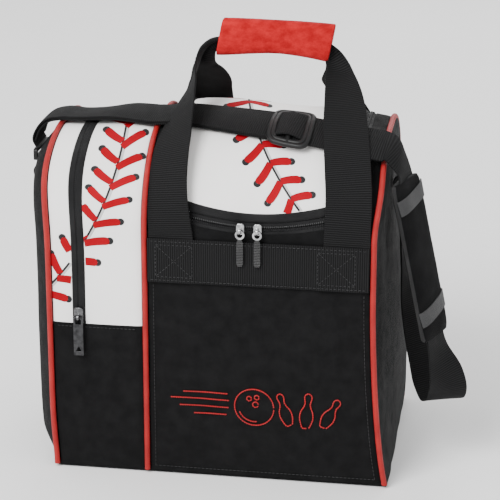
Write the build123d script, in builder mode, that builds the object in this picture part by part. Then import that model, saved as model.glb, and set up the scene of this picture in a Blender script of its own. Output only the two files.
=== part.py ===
from build123d import *

import os
from math import acos, asin, atan2, cos, degrees, hypot, radians, sin

# Single-ball bowling tote with a side accessory pocket, made of soft panels round a stiff base.
# Frame: X to the right, -Y to the front, +Z up. Origin at the centre of the footprint's depth,
# on the floor. All sizes are in millimetres.

# Driving dimensions of the shell
DEPTH = 224.0            # front panel face to back panel face
HEIGHT = 342.0           # floor to the flat top
CORNER = 92.0            # radius of the rounded top front and top back corners
FABRIC = 3.0             # padded fabric wall
CLEAR = 0.4              # gap left between neighbouring soft pieces
LEFT_SEAM = -166.0       # piped seam at the pocket's end
DIVIDER_SEAM = -71.5     # piped seam between pocket and ball compartment
RIGHT_SEAM = 152.0       # piped seam at the right end
PIPE_R = 3.2
PIPE_IN = 0.3            # how far the piping's centreline stands outside the panel face
PUFF = 19.0              # how far the pocket's end panel swells out
BASE_RIGHT = 160.0       # the base spreads a little beyond the right seam

ARC_Y = DEPTH / 2 - CORNER
ARC_Z = HEIGHT - CORNER
FLOOR_TOP = FABRIC + CLEAR
WRAP_END = PIPE_R + 0.3  # where a wrapped panel stops short of a seam's centreline
SIDE_INSET = FABRIC + CLEAR

# Lid, zipper and their outline, drawn on a plane square to the top front corner
LID_X = 36.0
LID_HALF = 83.0
LID_FRONT_V = 115.4
LID_SAG = 13.0
LID_BACK_V = 320.0
LID_CORNER = 24.0
HINGE_LEAN = 55.0        # lean of the lid hinge from vertical, round the back corner
WELT = 6.5
TAPE = 3.8
COIL = 1.4

# Webbing and handle
WEB = 1.6
WEB_WIDE = 43.0
BAND_LOW = 202.0
BAND_HIGH = 246.0
FOLD_Z = 251.0           # height where the handle loops turn on the face
HANDLE_X = 37.5
HANDLE_HALF = 101.0
GRIP_LONG = 110.0
GRIP_LOW = 399.0
GRIP_HIGH = 435.0
GRIP_DEEP = 17.0
GRIP_WALL = 4.0
LOOP_Y = 3.2             # handle webbing's distance from the centre plane inside the grip

# Shoulder strap
STRAP = 1.8
STRAP_RISE = 4.2         # strap's underside above the panel face, clear of the piping
STRAP_Y = -40.5
STRAP_SLOPE = -0.178
STRAP_HALF = 19.5

LID_PLANE = Plane(origin=(0, 0, 0), x_dir=(1, 0, 0), z_dir=(0, -1, 1))
BACK_HALF = Plane(origin=(0, 0, 0), x_dir=(1, 0, 0), z_dir=(0, 1, 0))

os.makedirs("parts", exist_ok=True)


def save(piece, name):
    """Label a finished piece and write it to its own file."""
    piece.part.label = name
    export_step(piece.part, f"parts/{name}.step")


def arch_line(inset, foot):
    """Open side outline: up the front, round the top corners and down the back."""
    half = DEPTH / 2 - inset
    radius = CORNER - inset
    with BuildLine() as line:
        Line((-half, foot), (-half, ARC_Z))
        JernArc((-half, ARC_Z), (0, 1), radius, -90)
        Line((-ARC_Y, ARC_Z + radius), (ARC_Y, ARC_Z + radius))
        JernArc((ARC_Y, ARC_Z + radius), (1, 0), radius, -90)
        Line((half, ARC_Z), (half, foot))
    return line.line


def arch(inset, foot=0.0):
    """Closed side outline, drawn as (Y, Z)."""
    half = DEPTH / 2 - inset
    with BuildSketch() as profile:
        with BuildLine():
            add(arch_line(inset, foot))
            Line((half, foot), (-half, foot))
        make_face()
    return profile.sketch


def arch_ring(outer, inner):
    """Wall section between two insets of the side outline."""
    with BuildSketch() as profile:
        add(arch(outer))
        add(arch(inner, foot=-10.0), mode=Mode.SUBTRACT)
    return profile.sketch


def radial(side, lean):
    """Plane across a rounded top corner; side is -1 in front and 1 behind, lean is from vertical."""
    along = (0, -side * cos(radians(lean)), sin(radians(lean)))
    return Plane(origin=(0, side * ARC_Y, ARC_Z), x_dir=(1, 0, 0), z_dir=along)


def lid_outline(grow):
    """The lid's outline with its sagging front edge, grown outwards."""
    left = LID_X - LID_HALF - grow
    right = LID_X + LID_HALF + grow
    end_v = LID_FRONT_V + LID_SAG - grow
    with BuildSketch() as outline:
        with BuildLine():
            ThreePointArc((left, end_v), (LID_X, LID_FRONT_V - grow), (right, end_v))
            Polyline((right, end_v), (right, LID_BACK_V), (left, LID_BACK_V), (left, end_v))
        make_face()
        fillet(outline.vertices().group_by(Axis.Y)[0], radius=LID_CORNER + grow)
    return outline.sketch


def lid_border(outer, inner):
    """A strip along the lid's edge between two grown outlines."""
    with BuildSketch() as border:
        add(lid_outline(outer))
        add(lid_outline(inner), mode=Mode.SUBTRACT)
    return border.sketch


# ---------------------------------------------------------------- base

with BuildPart() as base_panel:
    with BuildSketch():
        with Locations(((LEFT_SEAM + BASE_RIGHT) / 2, 0)):
            RectangleRounded(BASE_RIGHT - LEFT_SEAM, DEPTH, 12)
    extrude(amount=FABRIC)
save(base_panel, "base_panel")

BOARD_EDGE = 6.0
BOARD_THICK = 3.0
with BuildPart() as base_board:
    with BuildSketch(Plane.XY.offset(FLOOR_TOP)):
        with Locations(((DIVIDER_SEAM + RIGHT_SEAM) / 2, 0)):
            RectangleRounded(RIGHT_SEAM - DIVIDER_SEAM - 2 * BOARD_EDGE, DEPTH - 2 * BOARD_EDGE, 8)
    extrude(amount=BOARD_THICK)
save(base_board, "base_board")

# Foam cup that the ball sits in
BALL_R = 108.0
CUP_R = 75.0
CUP_HIGH = 22.0
CUP_Z = FLOOR_TOP + BOARD_THICK + CLEAR
BALL_X = 40.0
with BuildPart() as ball_cup:
    with BuildSketch(Plane.XY.offset(CUP_Z)):
        with Locations((BALL_X, 0)):
            Circle(CUP_R)
    extrude(amount=CUP_HIGH)
    fillet(ball_cup.edges().group_by(Axis.Z)[-1], radius=4)
    with Locations((BALL_X, 0, CUP_Z + 4 + BALL_R)):
        Sphere(BALL_R, mode=Mode.SUBTRACT)
save(ball_cup, "ball_cup")

# ---------------------------------------------------------------- ball compartment

MAIN_LEFT = DIVIDER_SEAM + WRAP_END
MAIN_RIGHT = RIGHT_SEAM - WRAP_END
OPEN_GROW = WELT + 2 * (TAPE + CLEAR) + CLEAR

with BuildPart() as front_panel:
    with BuildSketch(Plane.YZ.offset(MAIN_LEFT)):
        add(arch_ring(0, FABRIC))
    extrude(amount=MAIN_RIGHT - MAIN_LEFT)
    split(bisect_by=Plane.XY.offset(FLOOR_TOP), keep=Keep.TOP)
    split(bisect_by=BACK_HALF.offset(-ARC_Y - CLEAR / 2), keep=Keep.BOTTOM)
    with BuildSketch(LID_PLANE):
        add(lid_outline(OPEN_GROW))
    extrude(amount=500, both=True, mode=Mode.SUBTRACT)
save(front_panel, "front_panel")

with BuildPart() as back_panel:
    with BuildSketch(Plane.YZ.offset(MAIN_LEFT)):
        add(arch_ring(0, FABRIC))
    extrude(amount=MAIN_RIGHT - MAIN_LEFT)
    split(bisect_by=Plane.XY.offset(FLOOR_TOP), keep=Keep.TOP)
    split(bisect_by=BACK_HALF, keep=Keep.TOP)
    split(bisect_by=radial(1, HINGE_LEAN + 0.8), keep=Keep.BOTTOM)
save(back_panel, "back_panel")

STRIPS = {
    "top_strip_left": (MAIN_LEFT, LID_X - LID_HALF - OPEN_GROW),
    "top_strip_right": (LID_X + LID_HALF + OPEN_GROW, MAIN_RIGHT),
}
for strip_name, (strip_from, strip_to) in STRIPS.items():
    with BuildPart() as top_strip:
        with BuildSketch(Plane.YZ.offset(strip_from)):
            add(arch_ring(0, FABRIC))
        extrude(amount=strip_to - strip_from)
        split(bisect_by=BACK_HALF.offset(-ARC_Y + CLEAR / 2), keep=Keep.TOP)
        split(bisect_by=radial(1, HINGE_LEAN), keep=Keep.TOP)
        split(bisect_by=Plane.XY.offset(ARC_Z), keep=Keep.TOP)
    save(top_strip, strip_name)

with BuildPart() as right_side_panel:
    with BuildSketch(Plane.YZ.offset(RIGHT_SEAM + 0.5)):
        add(arch(SIDE_INSET, foot=FLOOR_TOP))
    extrude(amount=FABRIC)
save(right_side_panel, "right_side_panel")

with BuildPart() as divider_panel:
    with BuildSketch(Plane.YZ.offset(DIVIDER_SEAM - FABRIC / 2)):
        add(arch(SIDE_INSET, foot=FLOOR_TOP))
    extrude(amount=FABRIC)
save(divider_panel, "divider_panel")

PIPINGS = {"piping_left": LEFT_SEAM, "piping_divider": DIVIDER_SEAM, "piping_right": RIGHT_SEAM}
for pipe_name, seam in PIPINGS.items():
    pipe_path = Plane.YZ.offset(seam) * arch_line(-PIPE_IN, FLOOR_TOP)
    with BuildPart() as piping:
        with BuildSketch(Plane(origin=pipe_path @ 0, z_dir=pipe_path % 0)):
            Circle(PIPE_R)
        sweep(path=pipe_path)
    save(piping, pipe_name)

# ---------------------------------------------------------------- accessory pocket

POCKET_LEFT = LEFT_SEAM + WRAP_END
POCKET_RIGHT = DIVIDER_SEAM - WRAP_END
PRINT_LOW = 154.0
ZIP_LEFT = -143.0
ZIP_RIGHT = -130.0
ZIP_X = (ZIP_LEFT + ZIP_RIGHT) / 2
PRINT_BACK = 12.0        # how far the printed panels run over the top

with BuildPart() as pocket_front_lower:
    with BuildSketch(Plane.YZ.offset(POCKET_LEFT)):
        add(arch_ring(0, FABRIC))
    extrude(amount=POCKET_RIGHT - POCKET_LEFT)
    split(bisect_by=BACK_HALF, keep=Keep.BOTTOM)
    split(bisect_by=Plane.XY.offset(FLOOR_TOP), keep=Keep.TOP)
    split(bisect_by=Plane.XY.offset(PRINT_LOW), keep=Keep.BOTTOM)
save(pocket_front_lower, "pocket_front_lower")

PRINTS = {
    "pocket_print_left": (POCKET_LEFT, ZIP_LEFT - CLEAR),
    "pocket_print_right": (ZIP_RIGHT + CLEAR, POCKET_RIGHT),
}
for print_name, (print_from, print_to) in PRINTS.items():
    with BuildPart() as printed:
        with BuildSketch(Plane.YZ.offset(print_from)):
            add(arch_ring(0, FABRIC))
        extrude(amount=print_to - print_from)
        split(bisect_by=BACK_HALF.offset(PRINT_BACK), keep=Keep.BOTTOM)
        split(bisect_by=Plane.XY.offset(PRINT_LOW + CLEAR), keep=Keep.TOP)
    save(printed, print_name)

with BuildPart() as pocket_back_panel:
    with BuildSketch(Plane.YZ.offset(POCKET_LEFT)):
        add(arch_ring(0, FABRIC))
    extrude(amount=POCKET_RIGHT - POCKET_LEFT)
    split(bisect_by=BACK_HALF.offset(PRINT_BACK + CLEAR), keep=Keep.TOP)
    split(bisect_by=Plane.XY.offset(FLOOR_TOP), keep=Keep.TOP)
save(pocket_back_panel, "pocket_back_panel")

with BuildPart() as pocket_zip_tape:
    with BuildSketch(Plane.YZ.offset(ZIP_LEFT)):
        add(arch_ring(0.8, 2.2))
    extrude(amount=ZIP_RIGHT - ZIP_LEFT)
    split(bisect_by=BACK_HALF.offset(PRINT_BACK), keep=Keep.BOTTOM)
    split(bisect_by=Plane.XY.offset(PRINT_LOW + CLEAR), keep=Keep.TOP)
save(pocket_zip_tape, "pocket_zip_tape")

COIL_HALF = 2.6
with BuildPart() as pocket_zip_coil:
    with BuildSketch(Plane.YZ.offset(ZIP_X - COIL_HALF)):
        add(arch_ring(0.8 - COIL, 0.8))
    extrude(amount=2 * COIL_HALF)
    split(bisect_by=BACK_HALF.offset(PRINT_BACK), keep=Keep.BOTTOM)
    split(bisect_by=Plane.XY.offset(PRINT_LOW + CLEAR), keep=Keep.TOP)
save(pocket_zip_coil, "pocket_zip_coil")

# The end panel swells out like a pillow: a tray between two outlines
PUFF_INSET = 34.0
with BuildPart() as left_side_panel:
    with BuildSketch(Plane.YZ.offset(LEFT_SEAM - 0.5)):
        add(arch(SIDE_INSET, foot=FLOOR_TOP))
    with BuildSketch(Plane.YZ.offset(LEFT_SEAM - 0.5 - PUFF)):
        add(arch(PUFF_INSET, foot=PUFF_INSET))
    loft()
    with BuildSketch(Plane.YZ.offset(LEFT_SEAM - 0.5)):
        add(arch(SIDE_INSET + FABRIC, foot=FLOOR_TOP + FABRIC))
    with BuildSketch(Plane.YZ.offset(LEFT_SEAM - 0.5 - PUFF + FABRIC)):
        add(arch(PUFF_INSET + FABRIC, foot=PUFF_INSET + FABRIC))
    loft(mode=Mode.SUBTRACT)
save(left_side_panel, "left_side_panel")

# ---------------------------------------------------------------- lid

with BuildPart() as lid_panel:
    with BuildSketch(Plane.YZ.offset(MAIN_LEFT)):
        add(arch_ring(0, FABRIC))
    extrude(amount=MAIN_RIGHT - MAIN_LEFT)
    split(bisect_by=radial(1, HINGE_LEAN), keep=Keep.TOP)
    with BuildSketch(LID_PLANE):
        add(lid_outline(0))
    extrude(amount=500, both=True, mode=Mode.INTERSECT)
save(lid_panel, "lid_panel")

# Borders of the lid, from its edge outwards: (outer, inner) outline and (outer, inner) wall inset
LID_TAPE = WELT + CLEAR + TAPE
BAG_TAPE = LID_TAPE + CLEAR + TAPE
BORDERS = {
    "lid_welt": (WELT, 0.2, -0.6, FABRIC),
    "lid_zip_tape": (LID_TAPE, WELT + CLEAR, 0.8, 2.2),
    "lid_zip_coil": (LID_TAPE, LID_TAPE - COIL, 0.8 - COIL, 0.8),
    "bag_zip_tape": (BAG_TAPE, LID_TAPE + CLEAR, 0.8, 2.2),
    "bag_zip_coil": (LID_TAPE + CLEAR + COIL, LID_TAPE + CLEAR, 0.8 - COIL, 0.8),
}
for border_name, (outer, inner, wall_out, wall_in) in BORDERS.items():
    with BuildPart() as border:
        with BuildSketch(Plane.YZ.offset(MAIN_LEFT)):
            add(arch_ring(wall_out, wall_in))
        extrude(amount=MAIN_RIGHT - MAIN_LEFT)
        split(bisect_by=radial(1, HINGE_LEAN), keep=Keep.TOP)
        with BuildSketch(LID_PLANE):
            add(lid_border(outer, inner))
        extrude(amount=500, both=True, mode=Mode.INTERSECT)
    save(border, border_name)

# ---------------------------------------------------------------- zipper sliders and pulls


def front_point(lean, rise):
    """(Y, Z) on the front corner, leaning from vertical, at a height above the panel face."""
    reach = CORNER + rise
    return -ARC_Y - reach * sin(radians(lean)), ARC_Z + reach * cos(radians(lean))


SLIDER_LEAN = 84.5
SLIDER_LONG = 11.0
SLIDER_WIDE = 8.0
SLIDER_HIGH = 3.2
LUG_WIDE = 2.2
LUG_R = 3.0
LUG_HOLE_R = 1.7
RING_R = 3.6
RING_WIRE = 0.9
PULL_LONG = 27.0
PULL_WIDE = 6.5
PULL_THICK = 2.6
slider_y, slider_z = front_point(SLIDER_LEAN, 1.2)
PULL_PIVOT_Y = slider_y - SLIDER_HIGH - 1.7
PULL_PIVOT_Z = slider_z - 1.0
SLIDER_PLACES = {"left": 21.5, "right": 38.0}

for side_name, slider_x in SLIDER_PLACES.items():
    face = Plane(
        origin=(slider_x, slider_y, slider_z),
        x_dir=(1, 0, 0),
        z_dir=(0, -sin(radians(SLIDER_LEAN)), cos(radians(SLIDER_LEAN))),
    )
    with BuildPart() as slider:
        with BuildSketch(face):
            RectangleRounded(SLIDER_WIDE, SLIDER_LONG, 2.4)
        extrude(amount=SLIDER_HIGH)
        fillet(slider.faces().sort_by(Axis.Y)[0].edges(), radius=0.8)
        with BuildSketch(Plane.YZ.offset(slider_x - LUG_WIDE / 2)):
            with Locations((PULL_PIVOT_Y, PULL_PIVOT_Z)):
                Circle(LUG_R)
                Circle(LUG_HOLE_R, mode=Mode.SUBTRACT)
        extrude(amount=LUG_WIDE)
    save(slider, f"main_slider_{side_name}")

    ring_z = PULL_PIVOT_Z - RING_R
    with BuildPart() as ring:
        with BuildSketch(Plane.XZ.offset(-PULL_PIVOT_Y - RING_WIRE)):
            with Locations((slider_x, ring_z)):
                Circle(RING_R + RING_WIRE)
                Circle(RING_R - RING_WIRE, mode=Mode.SUBTRACT)
        extrude(amount=2 * RING_WIRE)
    save(ring, f"main_pull_ring_{side_name}")

    pull_top = ring_z - RING_R - RING_WIRE - 0.1
    with BuildPart() as pull:
        with BuildSketch(Plane.XZ.offset(-PULL_PIVOT_Y - PULL_THICK / 2)):
            with Locations((slider_x, pull_top - PULL_LONG / 2)):
                RectangleRounded(PULL_WIDE, PULL_LONG, 2.5)
        extrude(amount=PULL_THICK)
        fillet(pull.faces().sort_by(Axis.Y)[0].edges(), radius=0.7)
    save(pull, f"main_pull_{side_name}")

POCKET_SLIDER_Z = 165.0
POCKET_PULL_LONG = 40.0
POCKET_PULL_WIDE = 10.0
POCKET_BAR = 0.9         # half height of the bar that hangs in the slider's lug
POCKET_WINDOW = 6.0
pocket_face_y = -DEPTH / 2 - 1.2
pocket_pivot_y = pocket_face_y - 3.4 - 1.5
pocket_pivot_z = POCKET_SLIDER_Z - 3.0

with BuildPart() as pocket_slider:
    with BuildSketch(Plane.XZ.offset(-pocket_face_y)):
        with Locations((ZIP_X, POCKET_SLIDER_Z)):
            RectangleRounded(9.0, 13.0, 2.6)
    extrude(amount=3.4)
    fillet(pocket_slider.faces().sort_by(Axis.Y)[0].edges(), radius=0.8)
    with BuildSketch(Plane.YZ.offset(ZIP_X - LUG_WIDE / 2)):
        with Locations((pocket_pivot_y, pocket_pivot_z)):
            Circle(LUG_R)
            Circle(LUG_HOLE_R, mode=Mode.SUBTRACT)
    extrude(amount=LUG_WIDE)
save(pocket_slider, "pocket_slider")

with BuildPart() as pocket_pull:
    with BuildSketch(Plane.XZ.offset(-pocket_pivot_y - 1.0)):
        with Locations((ZIP_X, pocket_pivot_z + POCKET_BAR - POCKET_PULL_LONG / 2)):
            RectangleRounded(POCKET_PULL_WIDE, POCKET_PULL_LONG, 0.8)
        with Locations((ZIP_X, pocket_pivot_z - POCKET_BAR - POCKET_WINDOW / 2)):
            RectangleRounded(5.6, POCKET_WINDOW, 0.8, mode=Mode.SUBTRACT)
        with Locations((ZIP_X, pocket_pivot_z - POCKET_PULL_LONG + 7)):
            RegularPolygon(3.4, 3, rotation=90, mode=Mode.SUBTRACT)
    extrude(amount=2.0)
save(pocket_pull, "pocket_pull")

# ---------------------------------------------------------------- bands and carrying handle

FACE_OUT = DEPTH / 2 + CLEAR
for side, band_name in ((-1, "front_band"), (1, "back_band")):
    band_in = FACE_OUT + WEB + CLEAR
    with BuildPart() as band:
        with BuildSketch(Plane.YZ.offset(MAIN_LEFT)):
            with Locations((side * (band_in + WEB / 2), (BAND_LOW + BAND_HIGH) / 2)):
                Rectangle(WEB, BAND_HIGH - BAND_LOW)
        extrude(amount=MAIN_RIGHT - MAIN_LEFT)
    save(band, band_name)

for side, ends_name in ((-1, "front_strap_ends"), (1, "rear_strap_ends")):
    with BuildPart() as strap_ends:
        with BuildSketch(Plane.XZ.offset(-side * FACE_OUT)):
            for leg in (-1, 1):
                leg_x = HANDLE_X + leg * (HANDLE_HALF - WEB_WIDE / 2)
                with Locations((leg_x, (BAND_LOW + 2 + FOLD_Z) / 2)):
                    Rectangle(WEB_WIDE, FOLD_Z - BAND_LOW - 2)
        extrude(amount=-side * WEB)
    save(strap_ends, ends_name)

# The handle webbing rises off the face, passes over the shoulder strap and runs straight to the grip
web_r = CORNER + 3 * CLEAR + WEB / 2
over_r = CORNER + STRAP_RISE + STRAP + CLEAR + WEB
turn_y = ARC_Y - LOOP_Y
turn_z = GRIP_LOW + 4 - ARC_Z
reach = hypot(turn_y, turn_z)
leave = degrees(atan2(turn_y, turn_z)) - degrees(acos(over_r / reach))
mid_turn = radians(leave / 2 - 45)
mid_r = (web_r + over_r) / 2
leave_point = (-ARC_Y + over_r * sin(radians(leave)), ARC_Z + over_r * cos(radians(leave)))
turn_point = (-LOOP_Y, GRIP_LOW + 4)


def handle_profile():
    """Side view of the front handle webbing from the fold line to the top of the grip."""
    with BuildSketch() as profile:
        with BuildLine():
            Line((-ARC_Y - web_r, FOLD_Z + 0.6), (-ARC_Y - web_r, ARC_Z + 1.2))
            ThreePointArc(
                (-ARC_Y - web_r * cos(radians(0.7)), ARC_Z + 1.2),
                (-ARC_Y + mid_r * sin(mid_turn), ARC_Z + mid_r * cos(mid_turn)),
                leave_point,
            )
            Line(leave_point, turn_point)
            Line(turn_point, (-LOOP_Y, GRIP_HIGH - 6))
        trace(line_width=WEB)
    return profile.sketch


def handle_outline():
    """Front view of the handle loop: two legs that narrow into the grip."""
    outer = [(-HANDLE_HALF, FOLD_Z), (-HANDLE_HALF, 318), (-92, 366), (-74, 404), (-61, GRIP_HIGH - 6)]
    inner = [(-58, FOLD_Z), (-58, 320), (-57.5, 374), (-56.5, GRIP_LOW + 6)]
    mirrored_outer = [(-x, z) for x, z in reversed(outer)]
    mirrored_inner = [(-x, z) for x, z in inner]
    with BuildSketch() as outline:
        with BuildLine():
            Polyline(*outer, *mirrored_outer, *mirrored_inner, *reversed(inner), close=True)
        make_face()
    return outline.sketch


for side, strap_name in ((-1, "front_handle_strap"), (1, "rear_handle_strap")):
    with BuildPart() as handle_strap:
        with BuildSketch(Plane.YZ.offset(HANDLE_X - HANDLE_HALF)):
            profile = handle_profile()
            if side > 0:
                profile = mirror(profile, about=Plane.YZ, mode=Mode.PRIVATE)
            add(profile)
        extrude(amount=2 * HANDLE_HALF)
        with BuildSketch(Plane.XZ):
            with Locations((HANDLE_X, 0)):
                add(handle_outline())
        extrude(amount=DEPTH, both=True, mode=Mode.INTERSECT)
    save(handle_strap, strap_name)

GRIP_Z = (GRIP_LOW + GRIP_HIGH) / 2
GRIP_TALL = GRIP_HIGH - GRIP_LOW
with BuildPart() as grip_wrap:
    with BuildSketch(Plane.YZ.offset(HANDLE_X - GRIP_LONG / 2)):
        with Locations((0, GRIP_Z)):
            RectangleRounded(GRIP_DEEP, GRIP_TALL, 7.5)
        with Locations((GRIP_WALL, GRIP_Z)):
            Rectangle(GRIP_DEEP, GRIP_TALL - 2 * GRIP_WALL, mode=Mode.SUBTRACT)
        with Locations((GRIP_DEEP / 2, GRIP_Z)):
            Rectangle(8.0, GRIP_TALL, mode=Mode.SUBTRACT)
    extrude(amount=GRIP_LONG)
save(grip_wrap, "grip_wrap")

with BuildPart() as grip_flap:
    with BuildSketch(Plane.YZ.offset(HANDLE_X - GRIP_LONG / 2)):
        with Locations((GRIP_DEEP / 2 - 1.6, GRIP_Z)):
            Rectangle(3.2, GRIP_TALL - 6)
    extrude(amount=GRIP_LONG)
    fillet(grip_flap.edges().filter_by(Axis.X).group_by(Axis.Y)[-1], radius=1.4)
save(grip_flap, "grip_flap")

# ---------------------------------------------------------------- shoulder strap


def strap_centre_y(x):
    """Where the slanting strap's centreline lies over the top of the bag."""
    return STRAP_Y + STRAP_SLOPE * x


def strap_plan(x_from, x_to, half):
    """Plan of a stretch of the slanting strap."""
    with BuildSketch() as plan:
        with BuildLine():
            Polyline(
                (x_from, strap_centre_y(x_from) - half),
                (x_to, strap_centre_y(x_to) - half),
                (x_to, strap_centre_y(x_to) + half),
                (x_from, strap_centre_y(x_from) + half),
                close=True,
            )
        make_face()
    return plan.sketch


STRAP_TOPS = {
    "strap_over_pocket": (-160.0, -52.0),
    "strap_over_lid": (-51.0, 136.0),
    "strap_over_right": (137.0, 154.0),
}
for stretch_name, (x_from, x_to) in STRAP_TOPS.items():
    with BuildPart() as stretch:
        with BuildSketch(Plane.YZ.offset(x_from)):
            add(arch_ring(-STRAP_RISE - STRAP, -STRAP_RISE))
        extrude(amount=x_to - x_from)
        with BuildSketch(Plane.XY.offset(ARC_Z)):
            add(strap_plan(x_from, x_to, STRAP_HALF))
        extrude(amount=200, mode=Mode.INTERSECT)
    save(stretch, stretch_name)

GLIDE_FROM = 40.0
GLIDE_TO = 83.0
GLIDE_HALF = 26.0
GLIDE_RIM = 5.5
GLIDE_BAR = 9.0
GLIDE_THICK = 3.6
GLIDE_GAP = 1.0          # air under the slider, so that it can travel along the slanting strap
with BuildPart() as tri_glide:
    with BuildSketch(Plane.YZ.offset(GLIDE_FROM)):
        add(arch_ring(-STRAP_RISE - STRAP - GLIDE_GAP - GLIDE_THICK, -STRAP_RISE - STRAP - GLIDE_GAP))
    extrude(amount=GLIDE_TO - GLIDE_FROM)
    glide_mid = (GLIDE_FROM + GLIDE_TO) / 2
    slots = (
        (GLIDE_FROM + GLIDE_RIM, glide_mid - GLIDE_BAR / 2),
        (glide_mid + GLIDE_BAR / 2, GLIDE_TO - GLIDE_RIM),
    )
    with BuildSketch(Plane.XY.offset(ARC_Z)) as glide_plan:
        add(strap_plan(GLIDE_FROM, GLIDE_TO, GLIDE_HALF))
        fillet(glide_plan.vertices(), radius=7)
        for slot_from, slot_to in slots:
            add(strap_plan(slot_from, slot_to, GLIDE_HALF - GLIDE_RIM), mode=Mode.SUBTRACT)
    extrude(amount=200, mode=Mode.INTERSECT)
save(tri_glide, "tri_glide")


def strap_section(place, run, across, width, thick):
    """A webbing cross-section at a place, square to the run, its width along the across direction."""
    plane = Plane(origin=place, x_dir=across, z_dir=run)
    with BuildSketch(plane) as section:
        Rectangle(width, thick)
    return section.sketch


def webbing(stations, width, thick):
    """A strip lofted through stations of (place, run, across)."""
    sections = [strap_section(place, run, across, width, thick) for place, run, across in stations]
    return loft(sections, ruled=True, mode=Mode.PRIVATE)


RIGHT_Y = strap_centre_y(RIGHT_SEAM)
LEFT_Y = strap_centre_y(LEFT_SEAM)
STRAP_WIDE = 42.0
TOP_Z = HEIGHT + STRAP_RISE + STRAP / 2
EDGE_R = CORNER + STRAP_RISE + STRAP / 2
EDGE_LEAN = asin((-ARC_Y - RIGHT_Y) / EDGE_R)
EDGE_Z = ARC_Z + EDGE_R * cos(EDGE_LEAN)
RIGHT_TILT = (0, cos(EDGE_LEAN), sin(EDGE_LEAN))
TWIST = 25.0
PAD_ACROSS = (sin(radians(TWIST)), cos(radians(TWIST)), 0)
PAD_TOP = Vector(175.0, RIGHT_Y - 1, 300.0)
PAD_LOW = Vector(207.0, RIGHT_Y - 6, 146.0)
PAD_RUN = (PAD_LOW - PAD_TOP).normalized()
PAD_PLAY = 13.0          # straight strap beyond each end of the pad, for it to slide on
STRAIGHT_TOP = PAD_TOP - PAD_RUN * PAD_PLAY
STRAIGHT_LOW = PAD_LOW + PAD_RUN * PAD_PLAY

with BuildPart() as strap_right_drop:
    add(webbing(
        [
            ((154.9, RIGHT_Y, EDGE_Z), (1, 0, -0.1), RIGHT_TILT),
            ((162.5, RIGHT_Y, EDGE_Z - 3), (0.8, 0, -0.6), RIGHT_TILT),
            ((168.0, RIGHT_Y, EDGE_Z - 10), (0.4, 0, -0.9), (0, 0.98, 0.2)),
            (STRAIGHT_TOP, PAD_RUN, PAD_ACROSS),
        ],
        STRAP_WIDE,
        STRAP,
    ))
save(strap_right_drop, "strap_right_drop")

STRAIGHT = [(STRAIGHT_TOP, PAD_RUN, PAD_ACROSS), (STRAIGHT_LOW, PAD_RUN, PAD_ACROSS)]
with BuildPart() as strap_in_pad:
    add(webbing(STRAIGHT, STRAP_WIDE, STRAP))
save(strap_in_pad, "strap_in_pad")

PAD_WIDE = 52.0
PAD_THICK = 11.0
PAD_SLEEVE = 3.2         # clear height of the sleeve that the strap runs through
PAD_ENDS = [(PAD_TOP, PAD_RUN, PAD_ACROSS), (PAD_LOW, PAD_RUN, PAD_ACROSS)]
with BuildPart() as shoulder_pad:
    add(webbing(PAD_ENDS, PAD_WIDE, PAD_THICK))
    fillet(shoulder_pad.edges().sort_by(SortBy.LENGTH)[-4:], radius=4)
    add(webbing(PAD_ENDS, STRAP_WIDE + 2, PAD_SLEEVE), mode=Mode.SUBTRACT)
save(shoulder_pad, "shoulder_pad")

# ---------------------------------------------------------------- rings, tabs and hooks

RING_WIRE_R = 1.8
RING_HALF = 16.0
RING_TALL = 17.0
RING_STAND = 10.0        # how far a ring hangs clear of its end panel
TAB_WIDE = 24.0
TAB_LONG = 26.0
EYE_R = 8.5
EYE_HOLE_R = 4.6
STEM_LOW = 9.0
STEM_HIGH = 19.0
SWIVEL_Z = 26.0          # middle of the strap slot above the ring's far bar
SLOT_WIDE = 43.0
SLOT_TALL = 5.0
SWIVEL_TALL = SLOT_TALL + 7.0


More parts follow.
